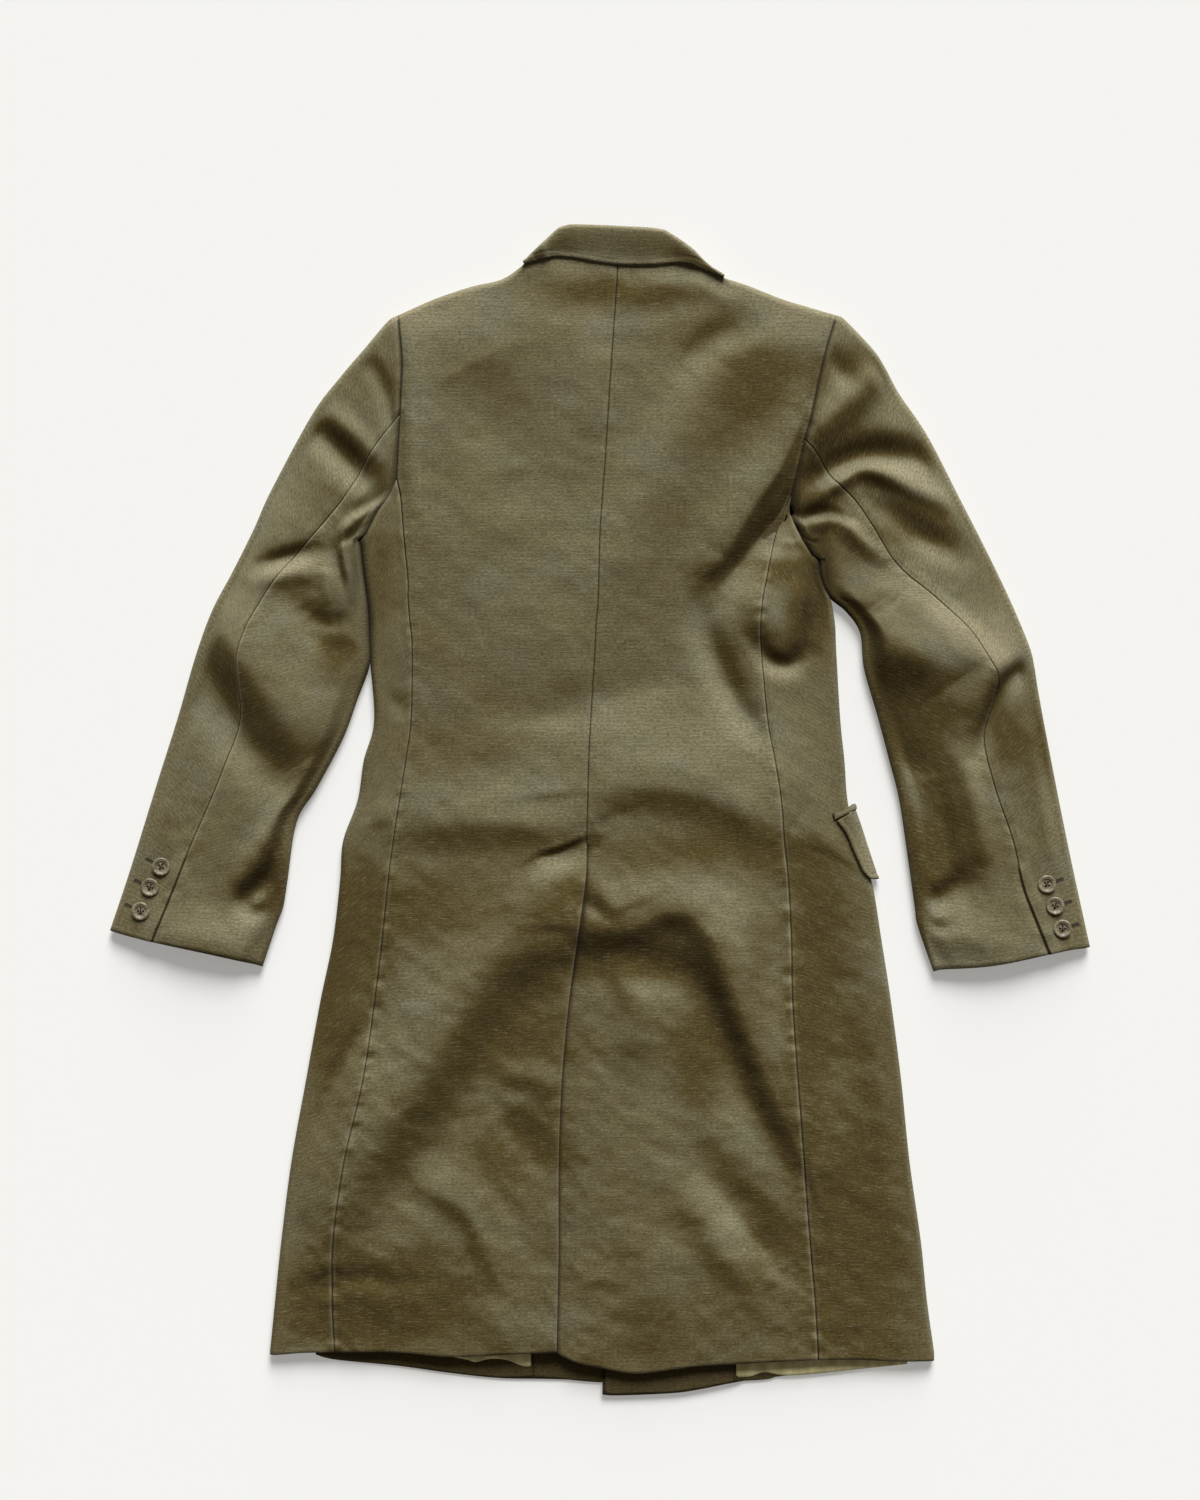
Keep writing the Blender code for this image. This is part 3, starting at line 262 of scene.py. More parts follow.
sleeveFolds = {
    "left": [
        ("cap ridge", [(-275, 387), (-245, 368), (-218, 338)], 12, 12, 2.5),
        ("cap trough", [(-276, 374), (-250, 344), (-222, 315)], 15, 14, -5),
        ("by the armhole", [(-227, 442), (-212, 414), (-199, 369)], 8, 9, -2),
        ("upper arm", [(-327, 238), (-306, 244), (-278, 253)], 8, 10, -4),
        ("under upper arm", [(-332, 220), (-306, 226), (-272, 230)], 12, 10, 1.6),
        ("underarm ridge", [(-205, 308), (-222, 293), (-240, 279), (-249, 262), (-247, 240), (-240, 222),
                            (-236, 208)], 5, 6, 2.4),
        ("behind the ridge", [(-232, 270), (-252, 258), (-253, 240), (-250, 218), (-256, 190)], 5, 7, -2),
        ("tongue", [(-264, 236), (-263, 212), (-261, 198)], 7, 8, 1.8),
        ("under the tongue", [(-278, 192), (-264, 180), (-250, 184)], 9, 9, -2.4),
        ("toward the armhole", [(-239, 284), (-222, 297), (-201, 309)], 7, 8, -3),
        ("elbow ridge", [(-376, 192), (-339, 144), (-306, 96), (-278, 53)], 46, 26, 7.5),
        ("elbow trough", [(-389, 154), (-373, 117), (-343, 65), (-307, 27)], 18, 24, -4),
        ("forearm ridge", [(-285, 32), (-319, -23), (-346, -74)], 12, 14, 4.5),
        ("forearm pocket", [(-297, -19), (-315, -59), (-346, -86)], 13, 10, -6.5),
        ("small pocket", [(-349, -79), (-336, -98), (-312, -94)], 7, 9, -2.5),
        ("cuff", [(-422, -119), (-381, -129), (-333, -141)], 26, 20, 3),
        ("pouch shade", [(-290, 199), (-275, 169), (-248, 154)], 12, 14, -2.5),
        ("outer forearm", [(-403, 87), (-418, 27), (-433, -32)], 16, 16, 1.5),
    ],
    "right": [
        ("cap ridge", [(272, 428), (239, 394), (204, 359)], 16, 15, 5),
        ("cap trough", [(318, 337), (290, 345), (262, 346), (235, 336), (208, 318)], 12, 13, -6),
        ("underarm ridge", [(334, 296), (300, 312), (268, 327), (250, 329), (230, 317),
                            (210, 304), (192, 295)], 8, 11, 4),
        ("underarm crease", [(190, 281), (208, 287), (223, 288), (240, 281)], 6, 6, -4),
        ("second ridge", [(194, 276), (211, 279), (223, 284), (235, 281), (249, 264), (270, 245)], 8, 9, 3),
        ("upper arm trough", [(266, 300), (302, 272), (345, 246)], 15, 13, -4),
        ("upper arm ridge", [(289, 208), (327, 184), (364, 153), (384, 130)], 16, 22, 4.5),
        ("elbow crease", [(418, 142), (392, 123), (376, 87), (367, 53)], 12, 9, -5),
        ("elbow crease ridge", [(401, 148), (379, 124), (363, 87)], 10, 16, 2.5),
        ("inner elbow", [(250, 186), (262, 172), (285, 158), (318, 146), (336, 120)], 34, 30, 8),
        ("inner elbow foot", [(264, 87), (282, 41), (316, 50)], 24, 24, -3),
        ("forearm trough", [(325, 30), (333, -25), (338, -66)], 14, 24, -4.5),
        ("forearm ridge", [(348, 50), (364, -2), (372, -55)], 14, 10, 2.5),
        ("cuff trough", [(304, -89), (334, -82), (361, -58)], 12, 18, -4.5),
        ("cuff crease", [(307, -101), (324, -113), (339, -111)], 6, 6, -2.5),
        ("cuff swell", [(316, -129), (364, -126), (401, -131)], 20, 20, 3),
        ("outer forearm", [(416, 87), (430, 12), (442, -47)], 16, 16, 1.5),
        ("below the cap", [(245, 415), (230, 430), (219, 445)], 9, 9, -2),
    ],
}


def ease(value):
    value = np.clip(value, 0, 1)
    return value * value * (3 - 2 * value)


# Shares from 0 to 1 that start close together and end far apart.
def oneSided(count, closeness):
    share = np.linspace(0, 1, count + 1)
    return share - closeness * np.sin(math.pi * share) / math.pi


# Points at shares of the length of a smooth line through the given ones.
def traceAt(points, shares):
    points = np.array(points, float)
    shares = np.asarray(shares, float)
    if len(points) == 2:
        return points[0] + shares[:, None] * (points[1] - points[0])
    ends = np.vstack([2 * points[0] - points[1], points, 2 * points[-1] - points[-2]])
    steps = np.linspace(0, 1, 16, endpoint=False)[:, None]
    line = []
    for before, start, end, after in zip(ends, ends[1:], ends[2:], ends[3:]):
        line.append(0.5 * (2 * start + (end - before) * steps
                           + (2 * before - 5 * start + 4 * end - after) * steps ** 2
                           + (3 * start - before - 3 * end + after) * steps ** 3))
    line = np.vstack(line + [points[-1:]])
    length = np.concatenate([[0], np.cumsum(np.linalg.norm(np.diff(line, axis=0), axis=1))])
    wanted = shares * length[-1]
    return np.column_stack([np.interp(wanted, length, line[:, axis]) for axis in range(line.shape[1])])


def inset(line, amount):
    along = np.gradient(line, axis=0)
    along /= np.linalg.norm(along, axis=1)[:, None]
    return line + amount * np.column_stack([along[:, 1], -along[:, 0]])


# One column of the body's table with its upper stretch, as a fine smooth line.
def column(place, top):
    return traceAt([(row[0], row[place]) for row in bodySections] + top, np.linspace(0, 1, 300))


def at(line, y):
    return np.interp(y, line[:, 0], line[:, 1])


leftEdge = column(1, leftEdgeTop)
leftSeam = column(2, leftSeamTop)
centreSeam = column(3, centreTop)
rightSeam = column(4, rightSeamTop)
rightEdge = column(5, rightEdgeTop)
crownLine = column(6, crownTop)


# The body's outline: its edge below the underarm and the armhole above.
def outline(side, y):
    edge = leftEdge if side == "left" else rightEdge
    inward = edgeInset if side == "left" else -edgeInset
    hole = armholes[side]
    fine = np.linspace(1, 0, 30)
    parts = ("to underarm", "to side seam", "to sleeve seam")
    rising = np.vstack([traceAt(hole[part], fine) for part in parts])
    below = edge[edge[:, 0] < rising[0, 1] - 4]
    levels = np.concatenate([below[:, 0], rising[:, 1]])
    places = np.concatenate([below[:, 1] + inward, rising[:, 0]])
    return np.interp(y, levels, places)


def topLine(x):
    points = shoulders["left"] + neckSeams["left"][1:] + neckSeams["right"][-2::-1]
    points = points + shoulders["right"][-2::-1]
    places, levels = zip(*points)
    return np.interp(x, places, levels)


# Smooth noise between -1 and 1 on a square lattice.
def noise(x, y, size, seed):
    table = np.random.RandomState(seed).uniform(-1, 1, (noiseCells, noiseCells))
    x, y = x / size + noiseShift, y / size + noiseShift
    column, row = np.floor(x).astype(int), np.floor(y).astype(int)
    a, b = x - column, y - row
    a, b = (t * t * t * (t * (t * 6 - 15) + 10) for t in (a, b))
    row, nextRow = row % noiseCells, (row + 1) % noiseCells
    column, nextColumn = column % noiseCells, (column + 1) % noiseCells
    low = table[row, column] * (1 - a) + table[row, nextColumn] * a
    high = table[nextRow, column] * (1 - a) + table[nextRow, nextColumn] * a
    return low * (1 - b) + high * b


# How a fold is drawn: steps of its line for each point given, how many widths it reaches to the
# sides, and how it grows from its start to its end.
foldSettings = {"steps": 6, "reach": 2.6, "taperStart": 0.06, "taperRun": 0.88, "taperPower": 0.6}


# Sum of the folds at each point: ridges and troughs that fade at both ends.
def foldRelief(folds, x, y):
    relief = np.zeros_like(x)
    for _, points, leftWidth, rightWidth, height in folds:
        height = height * foldStrength
        line = traceAt(points, np.linspace(0, 1, foldSettings["steps"] * len(points)))
        reach = foldSettings["reach"] * max(leftWidth, rightWidth)
        low, high = line.min(0) - reach, line.max(0) + reach
        near = (x > low[0]) & (x < high[0]) & (y > low[1]) & (y < high[1])
        if not near.any():
            continue
        px, py = x[near], y[near]
        nearest = np.full(px.shape, 1e9)
        place = np.zeros_like(px)
        side = np.zeros_like(px)
        for count, (first, second) in enumerate(zip(line, line[1:])):
            run = second - first
            share = np.clip(((px - first[0]) * run[0] + (py - first[1]) * run[1]) / (run @ run), 0, 1)
            across, up = px - first[0] - share * run[0], py - first[1] - share * run[1]
            gap = np.hypot(across, up)
            closer = gap < nearest
            nearest = np.where(closer, gap, nearest)
            place = np.where(closer, (count + share) / (len(line) - 1), place)
            side = np.where(closer, run[0] * up - run[1] * across, side)
        turn = ease(side / (np.linalg.norm(line[1] - line[0]) * 6) * 0.5 + 0.5)
        width = rightWidth + (leftWidth - rightWidth) * turn
        grown = foldSettings["taperStart"] + foldSettings["taperRun"] * place
        taper = np.sin(np.pi * grown) ** foldSettings["taperPower"]
        relief[near] += height * taper * np.exp(-(nearest / width) ** 2)
    return relief


# A seam: depth and half width of its groove, place and half width of the ridge of its allowance,
# length of its puckers and of the stretches in which they are stronger, and how far out they reach.
seamSettings = {"groove": 0.8, "grooveWidth": 0.7, "ridgeAt": 6.5, "ridgeWidth": 5.0, "waveLength": 6.8,
                "rippleLength": 3.6, "unevenLength": 70, "puckerWidth": 7.0}


# A seam's groove, the ridge of the allowance beside it, and the puckers along it.
def seamRelief(gap, along, seed, pucker=0.75, ridge=0.3):
    shape = seamSettings
    waves = (1.4 * noise(along, gap * 0.2, shape["waveLength"], seed)
             + 0.5 * noise(along, gap * 0.1, shape["rippleLength"], seed + 1))
    uneven = 0.6 + 0.4 * noise(along, along * 0, shape["unevenLength"], seed + 2)
    return (-shape["groove"] * np.exp(-(gap / shape["grooveWidth"]) ** 2)
            + ridge * np.exp(-((gap - shape["ridgeAt"]) / shape["ridgeWidth"]) ** 2)
            + pucker * uneven * waves * np.exp(-(gap / shape["puckerWidth"]) ** 2))


# Paler cloth beside a seam and the dark line in it, as wear above and below zero.
def seamWear(gap, pale=0.22, dark=0.85, rubbed=0.0):
    return (pale * np.exp(-((gap - 2.4) / 1.4) ** 2) + rubbed * np.exp(-((gap - 1.2) / 0.7) ** 2)
            - dark * np.exp(-(gap / 0.6) ** 2))


wrinkleSizes = (34, 15, 7, 26, 19)      # three soft sizes and two of slanting creases


# Small soft creases all over, more of them low down.
def wrinkles(x, y):
    large, middle, small, rising, falling = wrinkleSizes
    low = ease((120 - y) / 400)
    seed = seeds["wrinkles"]
    creases = 1 - 2 * np.abs(noise(0.8 * x + 0.5 * y, 0.6 * y - 0.3 * x, rising, seed[3]))
    across = 1 - 2 * np.abs(noise(0.7 * x - 0.6 * y, 0.7 * y + 0.4 * x, falling, seed[4]))
    return (0.5 * noise(x, y, large, seed[0])
            + (0.25 + 0.22 * low) * noise(x + 0.4 * y, y, middle, seed[1])
            + (0.10 + 0.12 * low) * noise(x, y, small, seed[2])
            + (0.3 + 0.15 * low) * np.clip(creases - 0.55, 0, 1)
            + (0.3 + 0.15 * low) * np.clip(across - 0.6, 0, 1))


# Height of the back's outer face above the surface, with its folds.
def bodyBase(x, y):
    left, right = outline("left", y), outline("right", y)
    across = np.clip((x - left) / (right - left), 0, 1)
    belowTop = topLine(x) - y
    crown = at(crownLine, y) * (1 - (2 * across - 1) ** 2) * ease(belowTop / shoulderRise)
    nearSide = np.where(y < underarmLevel, np.minimum(x - left, right - x), foldFade)
    fade = ease(nearSide / foldFade) * ease(belowTop / foldFade)
    folds = foldRelief(bodyFolds, x, y)
    return edgeHeight + crown + fade * folds + ease(nearSide / wrinkleFade) * wrinkles(x, y)


# A grid in plan between four boundary lines, rows from bottom to top.
def patch(left, right, bottom, top, across, up, settle=3):
    across, up = across[None, :, None], up[:, None, None]
    grid = (1 - across) * left[:, None] + across * right[:, None]
    low = bottom - ((1 - across[0]) * bottom[0] + across[0] * bottom[-1])
    high = top - ((1 - across[0]) * top[0] + across[0] * top[-1])
    return grid + (1 - up) ** settle * low[None] + up ** 2 * high[None]


def edgeArc(flat, rim, turn):
    middle = flat[..., 2] / 2
    plan = flat[..., :2] + (rim - flat[..., :2]) * math.sin(turn)
    return np.concatenate([plan, (middle * (1 + math.cos(turn)))[..., None]], axis=-1)


def lifted(plan, height):
    return np.concatenate([plan, np.broadcast_to(height, plan.shape[:-1])[..., None]], axis=-1)


def unit(vectors):
    length = np.linalg.norm(vectors, axis=-1, keepdims=True)
    return vectors / np.where(length > 0, length, 1)


# Outward unit normals of a grid of points; points that are not there hold nan.
def normals(grid):
    def difference(axis):
        forward = np.roll(grid, -1, axis) - grid
        backward = grid - np.roll(grid, 1, axis)
        last = [slice(None)] * 3
        last[axis] = -1
        forward[tuple(last)] = np.nan
        last[axis] = 0
        backward[tuple(last)] = np.nan
        forward = np.where(np.isnan(forward), backward, forward)
        backward = np.where(np.isnan(backward), forward, backward)
        return unit(forward) + unit(backward)
    return unit(np.cross(difference(1), difference(0)))


# Length along the grid's rows (axis 1) or columns (axis 0), from 0 at the start.
def spread(grid, axis):
    step = np.linalg.norm(np.diff(grid, axis=axis), axis=2)
    step = np.nan_to_num(step)
    start = np.zeros_like(step[:, :1] if axis == 1 else step[:1])
    return np.concatenate([start, np.cumsum(step, axis=axis)], axis=axis)


pieces = {}                               # every sheet that is made, by its name
lightSide = np.array([0.17, 0.98, 0.0])   # fold sides that face this way are painted paler, those facing away darker: painted light and shade
# Painted light share on flat cloth, and how fast it changes with the way the cloth faces.
litShareMiddle = 0.52
litShareTilt = 2.6

# Soft places painted lighter (above zero) or darker (below), painted light and painted shade:
# x and y of the middle, half width, half height and amount.
paintedLightPlaces = {
    "waist": (40, 70, 150, 80, 0.30),
    "between the blades": (-10, 330, 70, 150, 0.18),
    "left of the waist": (-120, -5, 90, 40, 0.15),
    "left yoke": (-150, 440, 60, 60, -0.05),
    "collar middle": (34, 553, 32, 12, -0.30),
    "collar": (20, 545, 90, 24, 0.45),
    "right yoke": (152, 432, 66, 62, -0.90),
    "back of the right cap": (257, 428, 24, 24, -0.75),
    "under the collar": (8, 503, 70, 14, -1.30),
    "left shoulder": (-172, 482, 62, 28, 1.40),
    "left of the collar": (-112, 503, 34, 14, 0.50),
    "right shoulder": (198, 476, 66, 26, 1.50),
    "right of the collar": (138, 503, 36, 13, 0.70),
    "right cap": (290, 385, 34, 22, 0.60),
    "below the right cap": (258, 346, 46, 15, -1.50),
    "right underarm ridge": (298, 308, 34, 12, 0.90),
    "right armhole": (206, 303, 20, 40, -1.30),
    "above the pouch": (158, 232, 30, 16, -0.90),
    "pouch foot": (165, 232, 22, 14, -0.70),
    "right underarm": (204, 205, 18, 48, -1.70),
    "right upper arm": (300, 270, 40, 14, -1.20),
    "middle of the right arm": (295, 229, 30, 14, 0.80),
    "right of the elbow": (385, 240, 22, 25, -0.35),
    "right arm streak": (355, 162, 46, 24, 1.50),
    "right elbow": (388, 76, 18, 34, -0.80),
    "right inner elbow": (284, 102, 36, 52, -1.15),
    "right forearm": (315, -45, 36, 42, -1.00),
    "outside of the right elbow": (428, 66, 24, 44, -0.85),
    "right cuff": (355, -152, 62, 20, 1.90),
    "right of the forearm hollow": (297, -79, 14, 24, -0.60),
    "left upper arm": (-305, 285, 30, 42, 0.50),
    "left elbow": (-335, 86, 40, 24, 0.45),
    "left arm above the elbow": (-298, 156, 34, 28, -0.50),
    "left underarm": (-258, 152, 18, 22, -1.10),
    "left forearm hollow": (-316, -70, 20, 22, -1.60),
    "left cuff": (-380, -115, 50, 25, 0.20),
    "left blade edge": (-172, 395, 20, 65, 0.35),
    "left side": (-212, 230, 14, 60, -0.35),
    "low on the back": (-60, 225, 80, 30, 0.30),
    "left small of the back": (-118, 55, 90, 34, -0.50),
    "right of the vent top": (85, -42, 100, 24, -1.00),
    "right hip": (215, -75, 40, 60, -0.40),
    "pocket flap": (261, -40, 12, 34, 0.60),
    "left seat": (-130, -95, 118, 40, -0.75),
    "by the vent top": (-28, -82, 26, 20, -0.70),
    "arch top": (48, -150, 56, 18, -1.60),
    "below the vent hollow": (6, -112, 24, 12, -1.10),
    "right arch flank": (152, -150, 16, 60, -0.55),
    "inside the right arch": (100, -222, 26, 62, -1.10),
    "right seat": (200, -195, 24, 85, -1.00),
    "left hip": (-256, -185, 26, 115, -0.95),
    "left seat edge": (-215, -140, 22, 50, -0.50),
    "inside the left arch": (-75, -222, 52, 50, -0.85),
    "foot of the left arch": (-85, -335, 55, 40, -0.75),
    "ridge by the vent": (-78, -273, 34, 14, 0.50),
    "left hem": (-217, -475, 66, 34, -1.50),
    "right hem fold": (155, -420, 20, 36, -0.60),
    "hem by the vent": (-60, -485, 45, 30, 0.25),
    "lower skirt": (0, -500, 320, 110, -0.22),
    "right skirt": (250, -370, 62, 200, -0.75),
}

# Deep shade under the arms: x and y of the middle, half width, half height and amount.
shadePlaces = {
    "right underarm": (217, 226, 8, 25, 0.90),
    "beside the right pouch": (198, 205, 5, 26, 0.45),
    "left underarm": (-238, 222, 6, 34, 0.60),
    "right underarm crease": (222, 286, 9, 5, 0.60),
    "under the left tongue": (-252, 196, 7, 16, 0.70),
}


# 1 in the middle of a soft place, less all round it.
def softPlace(points, x, y, wide, high):
    return np.exp(-((points[..., 0] - x) / wide) ** 2 - ((points[..., 1] - y) / high) ** 2)


def shaded(plan):
    total = np.zeros(plan.shape[:-1])
    for x, y, wide, high, amount in shadePlaces.values():
        total += amount * softPlace(plan, x, y, wide, high)
    return total


# Painted light share of each point: painted light on the sides of folds that face the light, painted
# shade on those that face away, and the painted light and shade of the places above.
def paintedLightShare(outward, points):
    share = litShareMiddle + litShareTilt * (outward @ lightSide)
    for x, y, wide, high, amount in paintedLightPlaces.values():
        share = share + amount * softPlace(points, x, y, wide, high)
    return np.clip(share, -1, 2)


# A closed sheet between two grids, over the cells whose corners are there.
def meshWall(name, outer, inner, weave, wearAndShade, finish):
    facing = unit(outer - inner)
    # fade is the painted light share of each point, from the way it faces and the places above
    fade = paintedLightShare(facing, outer)
    there = ~np.isnan(outer[..., 0]) & ~np.isnan(inner[..., 0])
    whole = there[:-1, :-1] & there[:-1, 1:] & there[1:, 1:] & there[1:, :-1]
    used = np.zeros_like(there)
    for rows, places in ((slice(None, -1), slice(None, -1)), (slice(None, -1), slice(1, None)),
                         (slice(1, None), slice(1, None)), (slice(1, None), slice(None, -1))):
        used[rows, places] |= whole
    count = int(used.sum())
    index = np.full(used.shape, -1)
    index[used] = np.arange(count)
    front = np.stack([index[:-1, :-1], index[:-1, 1:], index[1:, 1:], index[1:, :-1]], axis=-1)[whole]
    back = front[:, ::-1] + count
    edges = np.concatenate([front[:, [side, (side + 1) % 4]] for side in range(4)])
    keys, twins = edges[:, 0] * count + edges[:, 1], edges[:, 1] * count + edges[:, 0]
    rim = edges[~np.isin(keys, twins)]
    sides = np.stack([rim[:, 1], rim[:, 0], rim[:, 0] + count, rim[:, 1] + count], axis=-1)
    faces = np.concatenate([front, back, sides]).astype(np.int32)
    points = np.concatenate([outer[used], inner[used]]) * mm
    points[:, 2] = np.maximum(points[:, 2], 0)
    return meshFrom(name, points, faces, np.tile(weave[used], (2, 1)), np.tile(wearAndShade[used], 2), finish,
                    np.tile(fade[used], 2))


def meshFrom(name, points, faces, weave, wearAndShade, finish, fade=0.5):
    mesh = bpy.data.meshes.new(name)
    mesh.vertices.add(len(points))
    mesh.vertices.foreach_set("co", points.astype(np.float32).ravel())
    mesh.loops.add(faces.size)
    mesh.loops.foreach_set("vertex_index", faces.ravel())
    mesh.polygons.add(len(faces))
    mesh.polygons.foreach_set("loop_start", np.arange(0, faces.size, faces.shape[1], dtype=np.int32))
    mesh.update(calc_edges=True)
    layer = mesh.uv_layers.new(name="weave")
    layer.data.foreach_set("uv", (weave[faces.ravel()] * mm).astype(np.float32).ravel())
    colour = mesh.color_attributes.new("wearAndShade", "FLOAT_COLOR", "POINT")
    # Red: wear, dark seam lines and painted shade; green: the painted light share.
    shade = np.ones((len(points), 4), np.float32)
    shade[:, 0] = np.clip(wearAndShade, -1, 1)
    shade[:, 1] = fade
    colour.data.foreach_set("color", shade.ravel())
    mesh.materials.append(finish)
    mesh.shade_smooth()
    made = bpy.data.objects.new(name, mesh)
    bpy.context.scene.collection.objects.link(made)
    pieces[name] = made
    return made


# A shader value that takes +, -, * and / and makes the maths nodes for them.
class Socket:
    def __init__(self, tree, socket):
        self.tree = tree
        self.socket = socket

    def math(self, operation, other=None, clamp=False):
        node = self.tree.nodes.new("ShaderNodeMath")
        node.operation = operation
        node.use_clamp = clamp
        link(self.tree, self, node.inputs[0])
        if other is not None:
            link(self.tree, other, node.inputs[1])
        return Socket(self.tree, node.outputs[0])

    def __add__(self, other):
        return self.math("ADD", other)

    def __radd__(self, other):
        return self.math("ADD", other)

    def __sub__(self, other):
        return self.math("SUBTRACT", other)

    def __rsub__(self, other):
        return self.math("MULTIPLY", -1).math("ADD", other)

    def __mul__(self, other):
        return self.math("MULTIPLY", other)

    def __rmul__(self, other):
        return self.math("MULTIPLY", other)

    def __truediv__(self, other):
        return self.math("DIVIDE", other)

    # 0 below low, 1 above high, and a smooth step between.
    def smooth(self, low, high):
        node = self.tree.nodes.new("ShaderNodeMapRange")
        node.interpolation_type = "SMOOTHSTEP"
        link(self.tree, self, node.inputs[0])
        node.inputs[1].default_value = low
        node.inputs[2].default_value = high
        return Socket(self.tree, node.outputs[0])


def link(tree, value, target):
    if isinstance(value, Socket):
        tree.links.new(value.socket, target)
    else:
        target.default_value = value


# A node with its inputs by name, as a value to work with.
def addNode(tree, kind, output=0, settings=None, **inputs):
    node = tree.nodes.new(kind)
    for name, value in (settings or {}).items():
        setattr(node, name, value)
    for name, value in inputs.items():
        link(tree, value, node.inputs[name.replace("_", " ")])
    return Socket(tree, node.outputs[output])


def mixColour(tree, share, first, second, mode="MIX"):
    node = tree.nodes.new("ShaderNodeMix")
    node.data_type = "RGBA"
    node.blend_type = mode
    link(tree, share, node.inputs[0])
    for value, place in ((first, 6), (second, 7)):
        link(tree, value if isinstance(value, Socket) else (*value, 1), node.inputs[place])
    return Socket(tree, node.outputs[2])


def newMaterial(name):
    made = bpy.data.materials.new(name)
    made.use_nodes = True
    tree = made.node_tree
    return made, tree, tree.nodes["Principled BSDF"]


# The weave's coordinates in millimetres, stretched by the two factors.
def weavePoint(tree, across, along):
    place = addNode(tree, "ShaderNodeUVMap", settings={"uv_map": "weave"})
    node = tree.nodes.new("ShaderNodeMapping")
    link(tree, place, node.inputs["Vector"])
    node.inputs["Scale"].default_value = (1000 * across, 1000 * along, 1)
    return Socket(tree, node.outputs[0])


# Noise whose cells are across by along millimetres of the weave.
def noiseOn(tree, across, along, detail=2.0, roughness=0.5):
    return addNode(tree, "ShaderNodeTexNoise", Vector=weavePoint(tree, 1 / across, 1 / along),
                   Scale=1.0, Detail=detail, Roughness=roughness)


def separate(tree, colour, channel):
    return addNode(tree, "ShaderNodeSeparateColor", channel, Color=colour)


# lit and cool are the pale tones of painted light, the warm brown the tone of painted shade; darkest is
# painted deep shade, palest both painted highlight and rubbed wear, seam both seam lines and painted shade.
canvasLook = {
    "lit": (0.182, 0.166, 0.098),
    "cool": (0.172, 0.166, 0.110),
    "worn": (0.235, 0.215, 0.140),
    "deep": (0.060, 0.045, 0.018),
    "shadeTone": (0.080, 0.058, 0.018),
    "darkest": (0.050, 0.034, 0.009),
    "palest": (0.285, 0.255, 0.168),
    "rib": 4.1,
    "slub": (12.0, 0.9),
    "bump": 0.4,
    "grain": ((0.70, 0.68, 0.61), (1.28, 1.28, 1.29)),
    "seam": (0.020, 0.015, 0.007),
    "gloss": 0.05,
    "sheen": 0.03,
    "relief": 0.0006,
}
# Width and length in millimetres of the cells of each noise in the canvas.
canvasCells = {
    "fine": (3.2, 1.5),
    "pool": (70.0, 60.0),
    "upright": (0.6, 7.0),
    "cloud": (95.0, 75.0),
    "blotch": (24.0, 17.0),
    "speck": (2.2, 1.6),
    "wobble": (26.0, 6.0),
}
